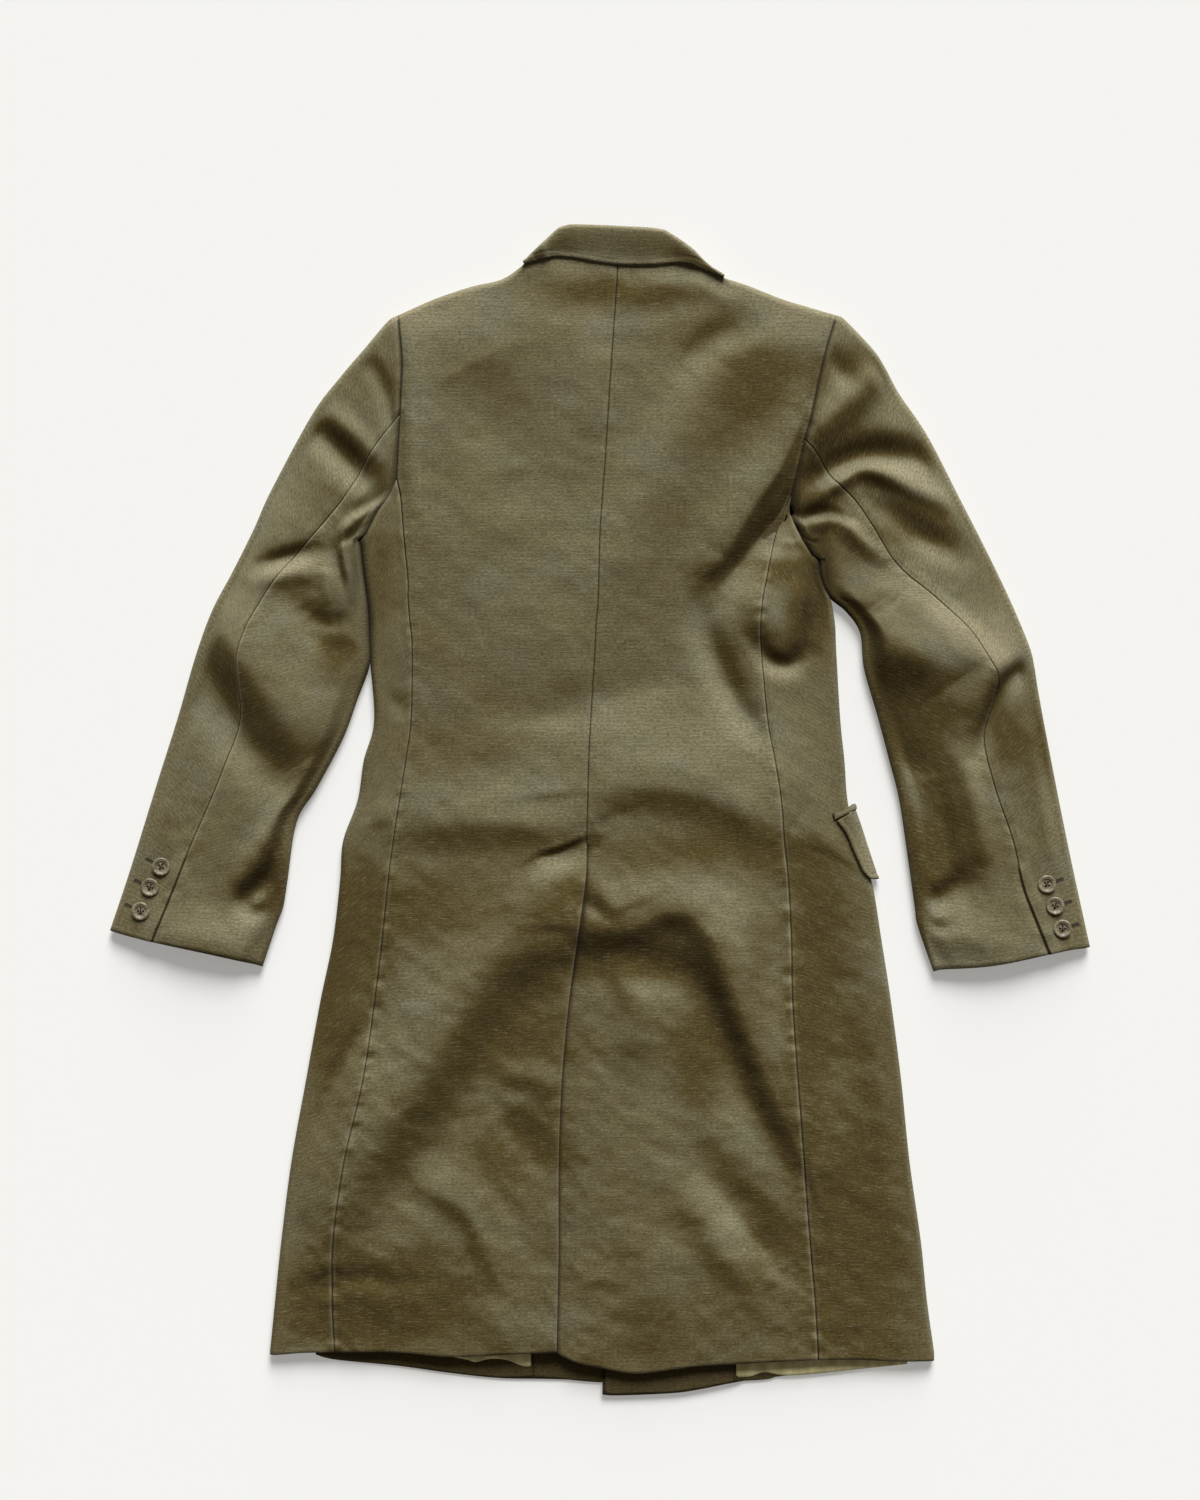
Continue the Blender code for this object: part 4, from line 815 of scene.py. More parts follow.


# Ribbed cotton canvas with slubs, mottled dye, paler worn seams, and painted light and shade.
def canvasMaterial(name, look):
    made, tree, shader = newMaterial(name)
    wearAndShade = Socket(tree, tree.nodes.new("ShaderNodeVertexColor").outputs[0])
    wearAndShade.socket.node.layer_name = "wearAndShade"
    worn = separate(tree, wearAndShade, 0).math("MAXIMUM", 0.0)
    sunk = (separate(tree, wearAndShade, 0) * -1).math("MAXIMUM", 0.0)
    slub = noiseOn(tree, *look["slub"], detail=1.5)
    fine = noiseOn(tree, *canvasCells["fine"], detail=2.0, roughness=0.7)
    pool = noiseOn(tree, *canvasCells["pool"], detail=2.0, roughness=0.5)
    upright = noiseOn(tree, *canvasCells["upright"], detail=1.0)
    cloud = noiseOn(tree, *canvasCells["cloud"], detail=2.0, roughness=0.45)
    blotch = noiseOn(tree, *canvasCells["blotch"], detail=3.0, roughness=0.6)
    speck = noiseOn(tree, *canvasCells["speck"], detail=1.0)
    place = weavePoint(tree, 1, 1)
    wobble = (noiseOn(tree, *canvasCells["wobble"], detail=1.0) - 0.5) * 1.6
    split = addNode(tree, "ShaderNodeSeparateXYZ", 1, Vector=place)
    rib = ((split / look["rib"] + wobble) * (2 * math.pi)).math("SINE")
    # painted light share of the points, with random mottling
    paintedLightAndMottle = separate(tree, wearAndShade, 1) + (cloud - 0.5) * 0.4
    fade = paintedLightAndMottle.math("MULTIPLY", 1.0, clamp=True)
    pale = mixColour(tree, pool.smooth(0.42, 0.68), look["lit"], look["cool"])
    # from the warm tone of painted shade to the pale tones of painted light
    tone = mixColour(tree, fade, look["shadeTone"], pale)
    # painted deep shade below zero, painted highlight above one
    tone = mixColour(tree, paintedLightAndMottle.math("MULTIPLY", -1.1, clamp=True), tone, look["darkest"])
    tone = mixColour(tree, ((paintedLightAndMottle - 1) * 0.8).math("MULTIPLY", 1.0, clamp=True), tone, look["palest"])
    tone = mixColour(tree, blotch.smooth(0.45, 0.85) * 0.25, tone, look["deep"])
    tone = mixColour(tree, slub.smooth(0.52, 0.76) * 0.42, tone, look["worn"])
    tone = mixColour(tree, (1 - slub).smooth(0.52, 0.78) * 0.4, tone, look["deep"])
    darker = mixColour(tree, 1.0, tone, look["grain"][0], "MULTIPLY")
    paler = mixColour(tree, 1.0, tone, look["grain"][1], "MULTIPLY")
    tone = mixColour(tree, fine.smooth(0.30, 0.70), darker, paler)
    tone = mixColour(tree, (rib * 0.5 + 0.5) * (0.05 + slub * 0.25), tone, look["deep"])
    tone = mixColour(tree, speck.smooth(0.62, 0.8) * 0.35, tone, look["worn"])
    # dark seam lines and painted shade
    tone = mixColour(tree, sunk * 0.85, tone, look["seam"])
    # pale rubbed wear, and the painted highlight along the vent edge
    edge = (worn * (blotch.smooth(0.3, 0.7) * 0.6 + 0.4)).math("MULTIPLY", 0.6, clamp=True)
    tone = mixColour(tree, edge, tone, look["palest"])
    link(tree, tone, shader.inputs["Base Color"])
    link(tree, 0.86 + slub * 0.1, shader.inputs["Roughness"])
    shader.inputs["Specular IOR Level"].default_value = look["gloss"]
    shader.inputs["Sheen Weight"].default_value = look["sheen"]
    shader.inputs["Sheen Roughness"].default_value = 0.6
    shader.inputs["Sheen Tint"].default_value = (0.75, 0.8, 0.72, 1)
    height = rib * 0.12 + slub * 0.4 + fine * 0.5 + upright * 0.1
    bump = tree.nodes.new("ShaderNodeBump")
    bump.inputs["Strength"].default_value = look["bump"]
    bump.inputs["Distance"].default_value = look["relief"]
    link(tree, height, bump.inputs["Height"])
    tree.links.new(bump.outputs[0], shader.inputs["Normal"])
    return made


insideLook = dict(canvasLook, lit=(0.095, 0.075, 0.036), cool=(0.090, 0.074, 0.040),
                  worn=(0.13, 0.108, 0.058), deep=(0.040, 0.029, 0.011), shadeTone=(0.066, 0.049, 0.020),
                  darkest=(0.045, 0.032, 0.012), palest=(0.15, 0.125, 0.07))
satinLook = {"light": (0.84, 0.79, 0.46), "dark": (0.56, 0.49, 0.22), "thread": (0.5, 14.0),
             "crease": (9.0, 30.0), "sheen": 0.3, "bump": 0.4, "relief": 0.0006}
hornLook = {"light": (0.265, 0.23, 0.15), "dark": (0.12, 0.098, 0.056)}
threadLook = {"light": (0.15, 0.128, 0.07), "dark": (0.05, 0.04, 0.018)}
# near-black of the buttonholes' slits, painted shade in their openings
slitShadeLook = {"light": (0.022, 0.017, 0.009), "dark": (0.010, 0.008, 0.004)}


# Soft lining satin with fine lengthways threads and creases, painted paler on their crests and darker in
# their troughs as painted light and shade.
def satinMaterial(name, look):
    made, tree, shader = newMaterial(name)
    thread = noiseOn(tree, *look["thread"], detail=1.0)
    crease = noiseOn(tree, *look["crease"], detail=2.0)
    tone = mixColour(tree, crease.smooth(0.3, 0.75), look["dark"], look["light"])
    tone = mixColour(tree, thread * 0.25, tone, look["dark"])
    link(tree, tone, shader.inputs["Base Color"])
    link(tree, 0.32 + crease * 0.22, shader.inputs["Roughness"])
    shader.inputs["Sheen Weight"].default_value = look["sheen"]
    bump = tree.nodes.new("ShaderNodeBump")
    bump.inputs["Strength"].default_value = look["bump"]
    bump.inputs["Distance"].default_value = look["relief"]
    link(tree, crease * 2.0 + thread * 0.4, bump.inputs["Height"])
    tree.links.new(bump.outputs[0], shader.inputs["Normal"])
    return made


# Polished horn-like plastic with cloudy streaks.
def hornMaterial(name, look):
    made, tree, shader = newMaterial(name)
    place = addNode(tree, "ShaderNodeTexCoord", 3)
    streak = addNode(tree, "ShaderNodeTexNoise", Vector=place, Scale=260.0, Detail=3.0, Distortion=1.2)
    tone = mixColour(tree, streak.smooth(0.36, 0.66), look["dark"], look["light"])
    link(tree, tone, shader.inputs["Base Color"])
    link(tree, 0.36 + streak * 0.16, shader.inputs["Roughness"])
    shader.inputs["Coat Weight"].default_value = 0.08
    shader.inputs["Coat Roughness"].default_value = 0.25
    return made


# Twisted sewing thread.
def threadMaterial(name, look):
    made, tree, shader = newMaterial(name)
    place = addNode(tree, "ShaderNodeTexCoord", 3)
    twist = addNode(tree, "ShaderNodeTexNoise", Vector=place, Scale=1500.0, Detail=2.0)
    link(tree, mixColour(tree, twist, look["dark"], look["light"]), shader.inputs["Base Color"])
    link(tree, 0.7 + twist * 0.2, shader.inputs["Roughness"])
    return made


canvas = canvasMaterial("olive canvas", canvasLook)
canvasInside = canvasMaterial("inside canvas", insideLook)
satin = satinMaterial("lining satin", satinLook)
horn = hornMaterial("horn", hornLook)
thread = threadMaterial("thread", threadLook)
slitShade = threadMaterial("slitShade", slitShadeLook)
print("materials made")


bodySettings = {"belowRows": 280, "stretchRows": (24, 40), "shoulderColumns": 36, "neckColumns": 32,
                "sideColumns": 26, "arcSteps": 10, "underColumns": 5, "closeness": 0.74}
# Underlap of the vent: distance past the vent's line and drop below the back there.
ventLap = [(5.0, 2.0), (14.0, 2.4), (26.0, 2.6)]
# The left panel is lifted at the vent, with a rippled edge, and the right one sinks below it. The rim
# is a painted highlight along a panel's vent edge.
ventSettings = {"lapWidth": 26, "lift": 1.6, "ripple": 0.5, "sinkWidth": 20, "sink": 1.6,
                "rim": {"left": 0.6, "right": 0.0}}
# Wear and painted shade on a side's folded edge: how pale it is rubbed in the open, how deep its painted
# shade is beside the sleeve, and the level at which the shade starts.
sideWearAndShade = {"rubbed": 0.2, "shade": 0.9, "shadeFrom": {"left": 130, "right": 190}, "shadeRise": 30,
            "seam": {"left": 0.5, "right": 0.0}}
belowShare = np.linspace(0, 1, bodySettings["belowRows"] + 1)
arcTurns = np.linspace(0, math.pi, bodySettings["arcSteps"] + 2)[1:-1]


def seamLine(line, bottom, top):
    levels = bottom + belowShare * (top - bottom)
    return np.column_stack([at(line, levels), levels])


# The side body: from the seam under the coat round the folded edge to the side seam.
def sidePanel(side):
    hole = armholes[side]
    edge, seam = (leftEdge, leftSeam) if side == "left" else (rightEdge, rightSeam)
    sideHem = hems[side + " side"] if side == "left" else hems[side + " side"][::-1]
    rim = seamLine(edge, sideHem[0][1], hole["underarm"][1])
    rim[-1] = hole["underarm"]
    flat = rim + np.array([edgeInset if side == "left" else -edgeInset, 0])
    flat[-1] = hole["to underarm"][-1]
    seam = seamLine(seam, sideHem[-1][1], hole["to underarm"][0][1])
    seam[-1] = hole["to underarm"][0]
    across = 1 - oneSided(bodySettings["sideColumns"], bodySettings["closeness"])[::-1]
    across[0], across[-1] = 0, 1
    low = traceAt([tuple(flat[0])] + sideHem[1:-1] + [tuple(seam[0])], across)
    high = traceAt(hole["to underarm"], 1 - across)
    plan = patch(flat, seam, low, high, across, belowShare)
    gap = spread(plan, 1)
    fromSeam = gap[:, -1:] - gap
    fromHole = spread(plan, 0)
    fromHole = fromHole[-1:] - fromHole
    x, y = plan[..., 0], plan[..., 1]
    height = bodyBase(x, y) + seamRelief(fromSeam, y, seeds["side seam"][side], pucker=0.6)
    height += seamRelief(fromHole, x, seeds["armhole"][side], pucker=0.2, ridge=0.3)
    top = lifted(plan, height)
    arcs = np.stack([edgeArc(top[:, 0], rim, turn) for turn in arcTurns[::-1]], axis=1)
    under = np.stack([plan[:, 0] + share * (plan[:, int(len(across) * underShare)] - plan[:, 0])
                      for share in np.linspace(1, 0, bodySettings["underColumns"])], axis=1)
    grid = np.concatenate([lifted(under, 0.0), arcs, top], axis=1)
    length = spread(grid, 1)
    weave = np.stack([length - length[:, -1:] + x[:, -1:], np.broadcast_to(y[:, :1], length.shape)],
                     axis=-1)
    wearAndShade = np.zeros(length.shape)
    first = grid.shape[1] - top.shape[1]
    wearAndShade[:, first:] = seamWear(fromSeam, rubbed=sideWearAndShade["seam"][side]) - shaded(plan)
    overEdge = length - length[:, first:first + 1]
    besideSleeve = ease((y[:, :1] - sideWearAndShade["shadeFrom"][side]) / sideWearAndShade["shadeRise"])
    wearAndShade += sideWearAndShade["rubbed"] * (1 - besideSleeve) * np.exp(-((overEdge + 9) / 4.0) ** 2)
    # painted shade along the folded edge beside the sleeve
    wearAndShade -= sideWearAndShade["shade"] * besideSleeve * np.exp(-((overEdge + 6) / 7.0) ** 2)
    wearAndShade += hemWear * np.exp(-(y[:, :1] - y[:1, :1] - 0.5) / 1.6) * np.ones_like(length)
    outward = normals(grid)
    if side == "right":
        outward = -outward
    inner = grid - cloth * outward
    if side == "right":
        grid, inner, weave, wearAndShade = (part[:, ::-1] for part in (grid, inner, weave, wearAndShade))
        weave = weave * np.array([-1, 1]) + np.array([2 * x.max(), 0])
    return meshWall("cloth_side_" + side, grid, inner, weave, wearAndShade, canvas)


# A back panel, from the side seam and armhole to the centre seam, and over the shoulder.
def backPanel(side):
    hole = armholes[side]
    seam = leftSeam if side == "left" else rightSeam
    hem = hems[side + " back"] if side == "left" else hems[side + " back"][::-1]
    lowRows, highRows = (np.linspace(0, 1, count + 1)[1:] for count in bodySettings["stretchRows"])
    lowArm = traceAt(hole["to side seam"], 1 - lowRows)
    highArm = traceAt(hole["to sleeve seam"], 1 - highRows)
    outer = np.vstack([seamLine(seam, hem[0][1], hole["to side seam"][-1][1]), lowArm, highArm])
    outer[bodySettings["belowRows"]] = hole["to side seam"][-1]
    rise = np.concatenate([lowRows * 3 / 8, 3 / 8 + highRows * 5 / 8])
    up = np.concatenate([belowShare * 24, 24 + rise * 8]) / 32
    levels = np.concatenate([hem[-1][1] + belowShare * (centreTurn - hem[-1][1]),
                             centreTurn + rise * (neckSeams[side][-1][1] - centreTurn)])
    centre = np.column_stack([at(centreSeam, levels), levels])
    centre[-1] = neckSeams[side][-1]
    first = oneSided(bodySettings["shoulderColumns"], bodySettings["closeness"])
    second = 1 - oneSided(bodySettings["neckColumns"], bodySettings["closeness"])[::-1]
    across = np.concatenate([first * 5 / 9, 5 / 9 + second[1:] * 4 / 9])
    shoulder = traceAt(shoulders[side], first)
    inward = edgeInset * ease((1 - first) * 10)[:, None]
    flatShoulder = inset(shoulder, inward if side == "left" else -inward)
    flatShoulder[0] = hole["to sleeve seam"][0]
    high = np.vstack([flatShoulder, traceAt(neckSeams[side], second)[1:]])
    plan = patch(outer, centre, traceAt(hem, across), high, across, up)
    x, y = plan[..., 0], plan[..., 1]
    gap = spread(plan, 1)
    fromCentre = gap[:, -1:] - gap
    height = bodyBase(x, y)
    above = ease((y[:, :1] - hole["to side seam"][-1][1]) / 6)
    puckered = 0.55 + 0.5 * ease((40 - y) / 120)
    height += (1 - above) * seamRelief(gap, y, seeds["side seam"][side], pucker=puckered)
    height += above * seamRelief(gap, y, seeds["armhole"][side], pucker=0.3, ridge=0.4)
    inVent = ease((ventTop - y[:, -1:]) / 6)
    centreSeed, rippleSeeds = seeds["centre seam"], seeds["vent edge"]
    height += (1 - inVent) * seamRelief(fromCentre, y, centreSeed, pucker=0.25, ridge=0.2)
    lap = inVent * ease(1 - fromCentre / ventSettings["lapWidth"])
    ripple = 1.3 * noise(y, y * 0, 31, rippleSeeds[0]) + 0.5 * noise(y, y * 0, 12, rippleSeeds[1])
    if side == "left":
        height += lap * (ventSettings["lift"] + ventSettings["ripple"] * ripple)
    else:
        height -= inVent * ease(1 - fromCentre / ventSettings["sinkWidth"]) * ventSettings["sink"]
    top = lifted(plan, height)
    tail = np.full((len(arcTurns) + 1, plan.shape[1], 3), np.nan)
    width = len(shoulder)
    for row, turn in enumerate(list(arcTurns) + [math.pi]):
        tail[row, :width] = edgeArc(top[-1, :width], shoulder, turn)
    grid = np.concatenate([top, tail], axis=0)
    weave = np.stack([x, y], axis=-1)
    extra = np.full(tail.shape[:2] + (2,), np.nan)
    overShoulder = np.concatenate([top[-1:, :width], tail[:, :width]])
    steps = np.cumsum(np.linalg.norm(np.diff(overShoulder, axis=0), axis=2), axis=0)
    extra[:, :width, 0] = x[-1, :width]
    extra[:, :width, 1] = y[-1, :width] + steps
    weave = np.concatenate([weave, extra], axis=0)
    wearAndShade = seamWear(gap, rubbed=(1 - above) * (0.0 if side == "left" else 0.9))
    wearAndShade += seamWear(fromCentre, pale=0.1, dark=0.8) * (1 - inVent) - shaded(plan)
    # painted highlight along the left panel's vent edge
    rim = ventSettings["rim"][side] * inVent * np.exp(-fromCentre / 1.4)
    wearAndShade += hemWear * np.exp(-(y - y[:1]) / 1.6) + rim
    if side == "right":
        # painted shadow beside the vent, and painted shade at the top of the arch below it
        wearAndShade -= inVent * np.exp(-(fromCentre / ventShadow) ** 2)
        wearAndShade -= 0.8 * inVent * np.exp(-(fromCentre / 6) ** 2) * np.exp(-((y + 112) / 40) ** 2)
    wearAndShade = np.concatenate([wearAndShade, np.full(tail.shape[:2], 0.2)], axis=0)
    outward = normals(grid)
    if side == "left":
        return meshWall("cloth_back_left", grid, grid - cloth * outward, weave, wearAndShade, canvas)
    outward = -outward
    below = np.concatenate([inVent[:, 0] > 0.5, np.zeros(len(tail), bool)])
    laps = np.full((len(grid), len(ventLap), 3), np.nan)
    for place, (reach, drop) in enumerate(ventLap):
        edge = grid[below, -1]
        laps[below, place, :2] = edge[:, :2] - np.array([reach, 0])
        laps[below, place, 2] = bodyBase(edge[:, 0] - reach, edge[:, 1]) - drop
    grid = np.concatenate([grid, laps], axis=1)
    outward = np.concatenate([outward, np.repeat(outward[:, -1:], len(ventLap), axis=1)], axis=1)
    lapWeave = np.stack([weave[:, -1] - np.array([reach, 0]) for reach, _ in ventLap], axis=1)
    weave = np.concatenate([weave, lapWeave], axis=1)
    wearAndShade = np.concatenate([wearAndShade, np.zeros((wearAndShade.shape[0], len(ventLap)))], axis=1)
    inner = grid - cloth * outward
    grid, inner, weave, wearAndShade = (part[:, ::-1] for part in (grid, inner, weave, wearAndShade))
    return meshWall("cloth_back_right", grid, inner, weave, wearAndShade, canvas)


sleeveSettings = {"rows": 210, "upper": 36, "lower": (20, 22), "closeness": 0.72, "crown": 7.0,
                  "crownWidth": 60, "outerLag": 0.8, "seamLag": 0.75, "innerLag": 1.7, "settle": 12,
                  "arcSteps": 10, "foldFade": 17, "wrinkleFade": 10, "ventLength": 95, "ventFade": 10}
# Wear and painted shade of a sleeve: how pale its folded edges are rubbed, how deep its painted shade is
# beside the body, and the distance from the armhole over which the shade ends.
sleeveWearAndShade = {"rubbed": 0.45, "shade": 0.9, "shadeEnd": {"left": 175, "right": 95}, "shadeFade": 40,
              "seam": {"left": 1.0, "right": 0.0}}


# A sleeve's upper and under piece, round the tube from the front seam underneath.
def sleevePanels(side):
    hole, shape = armholes[side], sleeves[side]
    away = 1 if side == "left" else -1
    along = oneSided(sleeveSettings["rows"], 0.6)
    outer = traceAt([hole["tip"]] + shape["outer"], along ** sleeveSettings["outerLag"])
    inner = traceAt([hole["underarm"]] + shape["inner"], along ** sleeveSettings["innerLag"])
    seam = traceAt(shape["seam"], along ** sleeveSettings["seamLag"])
    outerFlat = inset(outer, -edgeInset * away)
    innerFlat = inset(inner, edgeInset * away)
    outerFlat[0], innerFlat[0] = hole["to sleeve seam"][0], hole["to underarm"][-1]
    upperShare = 1 - oneSided(sleeveSettings["upper"], sleeveSettings["closeness"])[::-1]
    first = oneSided(sleeveSettings["lower"][0], sleeveSettings["closeness"])
    second = np.linspace(0, 1, sleeveSettings["lower"][1] + 1)
    lowerShare = np.concatenate([first / 2, 0.5 + second[1:] / 2])
    ringLow = np.vstack([traceAt(hole["to side seam"], first), traceAt(hole["to underarm"], second)[1:]])
    cuffOuter = traceAt([tuple(outerFlat[-1])] + shape["cuff outer"][1:], upperShare)
    cuffInner = traceAt(shape["cuff inner"][:-1] + [tuple(innerFlat[-1])], lowerShare)
    upper = patch(outerFlat, seam, traceAt(hole["to sleeve seam"], upperShare), cuffOuter, upperShare,
                  along, sleeveSettings["settle"])
    lower = patch(seam, innerFlat, ringLow, cuffInner, lowerShare, along, sleeveSettings["settle"])
    plan = np.concatenate([upper, lower[:, 1:]], axis=1)
    split = upper.shape[1] - 1
    x, y = plan[..., 0], plan[..., 1]
    width = np.linalg.norm(plan[:, -1] - plan[:, 0], axis=1)[:, None]
    fromOuter = np.linalg.norm(plan - plan[:, :1], axis=2)
    fromInner = np.linalg.norm(plan - plan[:, -1:], axis=2)
    share = fromOuter / (fromOuter + fromInner)
    crownWidth = sleeveSettings["crownWidth"]
    crown = sleeveSettings["crown"] * (1 - (2 * share - 1) ** 2) * np.minimum(1, width / crownWidth)
    nearEdge = np.minimum(fromOuter, fromInner)
    relief = ease(nearEdge / sleeveSettings["foldFade"]) * foldRelief(sleeveFolds[side], x, y)
    own = edgeHeight + crown + ease(nearEdge / sleeveSettings["wrinkleFade"]) * wrinkles(x + 400, y)
    shared = bodyBase(x, y)
    gap = spread(plan, 1)
    fromSeam = np.abs(gap - gap[:, split:split + 1])
    down = spread(plan, 0)
    height = shared + (own - shared) * ease(along[:, None] * 22 / 4) + relief * ease(down / 12)
    downSeam = down[:, split:split + 1]
    height += seamRelief(fromSeam, downSeam + 0 * fromSeam, seeds["sleeve seam"][side], pucker=0.4)
    height += seamRelief(down, y, seeds["armhole"][side], pucker=0.35, ridge=0.6)
    toCuff = down[-1:] - down
    isUpper = np.arange(plan.shape[1])[None] <= split
    ventShare = ease((sleeveSettings["ventLength"] - toCuff) / sleeveSettings["ventFade"])
    height += ventShare * np.where(isUpper, 1.3 * ease(1 - fromSeam / 16), -1.2 * ease(1 - fromSeam / 12))
    top = lifted(plan, height)
    turns = np.linspace(0, math.pi, sleeveSettings["arcSteps"] + 2)[1:-1]
    outerArc = np.stack([edgeArc(top[:, 0], outer, turn) for turn in turns[::-1]], axis=1)
    innerArc = np.stack([edgeArc(top[:, -1], inner, turn) for turn in turns], axis=1)
    front = split + int(len(lowerShare) * underShare)
    floorOuter = lifted(plan[:, list(range(front, 0, -4)) + [0]], 0.0)
    rimColumn = plan.shape[1] - 1
    floorInner = lifted(plan[:, [rimColumn] + list(range(rimColumn - 3, front, -4)) + [front]], 0.0)
    grid = np.concatenate([floorOuter, outerArc, top, innerArc, floorInner], axis=1)
    middle = floorOuter.shape[1] + outerArc.shape[1]
    length = spread(grid, 1)
    mean = np.nanmean(spread(top, 0), axis=1)[:, None]
    weave = np.stack([length - length[:, middle + split:middle + split + 1],
                      -(mean + (downSeam - mean) * 0.3) + 0 * length], axis=-1)
    wearAndShade = np.zeros(length.shape)
    last = middle + top.shape[1]
    onUnder = ease((np.arange(plan.shape[1])[None] - split + 0.5) * 2)
    wearAndShade[:, middle:last] = seamWear(fromSeam, rubbed=sleeveWearAndShade["seam"][side] * onUnder)
    wearAndShade[:, middle:last] += seamWear(down, pale=0.1) - shaded(plan)
    wearAndShade += hemWear * np.exp(-(down[-1:, split] - mean) / 1.5)
    fromOuterRim = length - length[:, middle:middle + 1] + 8
    fromInnerRim = length - length[:, last - 1:last] - 8
    besideBody = ease((sleeveWearAndShade["shadeEnd"][side] - down[:, -1:]) / sleeveWearAndShade["shadeFade"])
    rubbed = sleeveWearAndShade["rubbed"]
    wearAndShade += (rubbed * np.exp(-(fromOuterRim / 4) ** 2)
             + rubbed * (1 - besideBody) * np.exp(-(fromInnerRim / 4) ** 2))
    pastTop = np.arange(length.shape[1]) >= middle
    # painted shade along the inner edge beside the body
    wearAndShade -= sleeveWearAndShade["shade"] * besideBody * np.exp(-(np.minimum(fromInnerRim + 1, 0) / 5) ** 2) * pastTop
    # painted shade in the gap of the cuff's vent, wider toward the cuff
    inCuff = ventShare * ease((toCuff[:, split:split + 1] + 4) / 4)     # dark line of the cuff's vent
    wearAndShade[:, middle:last] -= inCuff * np.exp(-(fromSeam / (1.2 + 0.9 * ease(1 - toCuff / 90))) ** 2)
    outward = normals(grid)
    if side == "left":
        outward = -outward
    body = grid - cloth * outward
    cut = middle + split
    cuts = {"cloth_sleeve_top_": slice(0, cut + 1), "cloth_sleeve_under_": slice(cut, None)}
    for name, places in cuts.items():
        parts = [part[:, places] for part in (grid, body, weave, wearAndShade)]
        if side == "left":
            parts = [part[::-1] for part in parts]
        meshWall(name + side, *parts, canvas)
    return top


print("lines ready")
for makePanel in (sidePanel, backPanel):
    for side in ("left", "right"):
        makePanel(side)
print("body made")
sleeveTops = {side: sleevePanels(side) for side in ("left", "right")}
print("sleeves made")


# Where the right front lies over the left one and over its hem, and how far it is lifted there.
frontSettings = {"columns": 40, "rows": 90, "lift": 1.9, "lapMiddle": 60, "lapReach": 160,
                 "hemLevel": -480, "top": {"left": (-197, 466), "right": (228, 462)}}


# A front, flat on the surface; the right one is lifted where it laps over the left.
def frontPanel(side):
    shape, hole = fronts[side], armholes[side]
    shares = np.linspace(0, 1, frontSettings["columns"] + 1)
    up = np.linspace(0, 1, frontSettings["rows"] + 1)
    edge = leftEdge if side == "left" else rightEdge
    seam = leftSeam if side == "left" else rightSeam
    levels = shape["hem"][0][1] + up * (hole["underarm"][1] - shape["hem"][0][1])
    place = at(edge, levels) + (edgeInset if side == "left" else -edgeInset)
    place += underShare * (at(seam, levels) - place)
    top = frontSettings["top"][side]
    outer = traceAt([tuple(point) for point in np.column_stack([place, levels])[::15]] + [top], up)
    outer[0] = shape["hem"][0]
    front = np.column_stack([np.linspace(shape["hem"][-1][0], shape["edge top"][0], len(up)),
                             np.linspace(shape["hem"][-1][1], shape["edge top"][1], len(up))])
    high = traceAt([tuple(outer[-1])] + shape["neck"], shares)
    plan = patch(outer, front, traceAt(shape["hem"], shares), high, shares, up)
    raised = np.zeros(plan.shape[:2])
    if side == "right":
        fromLap = np.abs(plan[..., 0] - frontSettings["lapMiddle"]) / frontSettings["lapReach"]
        raised += frontSettings["lift"] * ease((0.6 - fromLap) * 4)
        overHem = ease((140 - plan[..., 0]) / 10) * ease((frontSettings["hemLevel"] - plan[..., 1]) / 20)
        raised += frontSettings["lift"] * overHem
    gap = spread(plan, 0)
    raised += 0.8 * np.exp(-gap / 3.0)
    outside = lifted(plan, raised)
    inside = outside + np.array([0, 0, cloth])
    wearAndShade = 0.25 * np.exp(-gap / 2.0)
    parts = [inside, outside, plan, wearAndShade]
    if side == "right":
        parts = [part[:, ::-1] for part in parts]
    meshWall("cloth_front_" + side, *parts, canvasInside)


# Height of each kind of strip inside the hem and of its waves, and its columns and rows.
stripSettings = {"facing": (55, 0.25), "turnup": (38, 0.3), "lining": (62, 1.2), "columns": 80, "rows": 24}


# A strip of cloth inside the hem, from its lower edge up, with a soft wave along it.
def hemStrip(kind, side, lower, base, thickness, finish):
    height, wave = stripSettings[kind]
    low = traceAt(lower, np.linspace(0, 1, stripSettings["columns"] + 1))
    up = np.linspace(0, 1, stripSettings["rows"] + 1)[:, None]
    plan = low[None] + up[..., None] * np.array([0, height])
    x, y = plan[..., 0], plan[..., 1]
    first, second = seeds["strips"]
    waves = wave * (0.6 + 0.4 * noise(x, y, 9, first)) * (1 + noise(x * 1.4, y * 0.4, 12, second))
    bottom = lifted(plan, base + waves * ease(up * 8))
    top = bottom + np.array([0, 0, thickness])
    top[0, :, 2] -= 0.25 * thickness
    wearAndShade = 0.2 * np.exp(-up * height / 1.8) + 0 * x
    meshWall("cloth_" + kind + "_" + side, top, bottom, plan, wearAndShade, finish)


layer = cloth + layerGap
for side, strips, facingBase in (("left", leftStrips, layer), ("right", rightStrips, 3 * layer)):
    hemStrip("facing", side, strips["facing"], facingBase, stripCloth, canvasInside)
    hemStrip("turnup", side, strips["turnup"], layer, stripCloth, canvasInside)
    hemStrip("lining", side, strips["lining"], layer + stripCloth + 0.6, liningCloth, satin)
for side in ("left", "right"):
    frontPanel(side)
print("fronts and strips made")

# The roll is the outer radius at the fold, and the tip's a share of it. The end foot is how low the
# ends drop. The slope is the steepest fall from the roll to the collar's edge.
collarSettings = {"columns": 120, "fallRows": 14, "rollRows": 14, "standRows": 6, "roll": 3.9,
                  "rollDepth": 14, "tipRoll": 0.62, "endFoot": 2.0, "sink": 1.0, "stand": 6.0,
                  "slope": 0.22, "air": 0.35, "stitchAt": 6.0, "stitchDepth": 0.55}


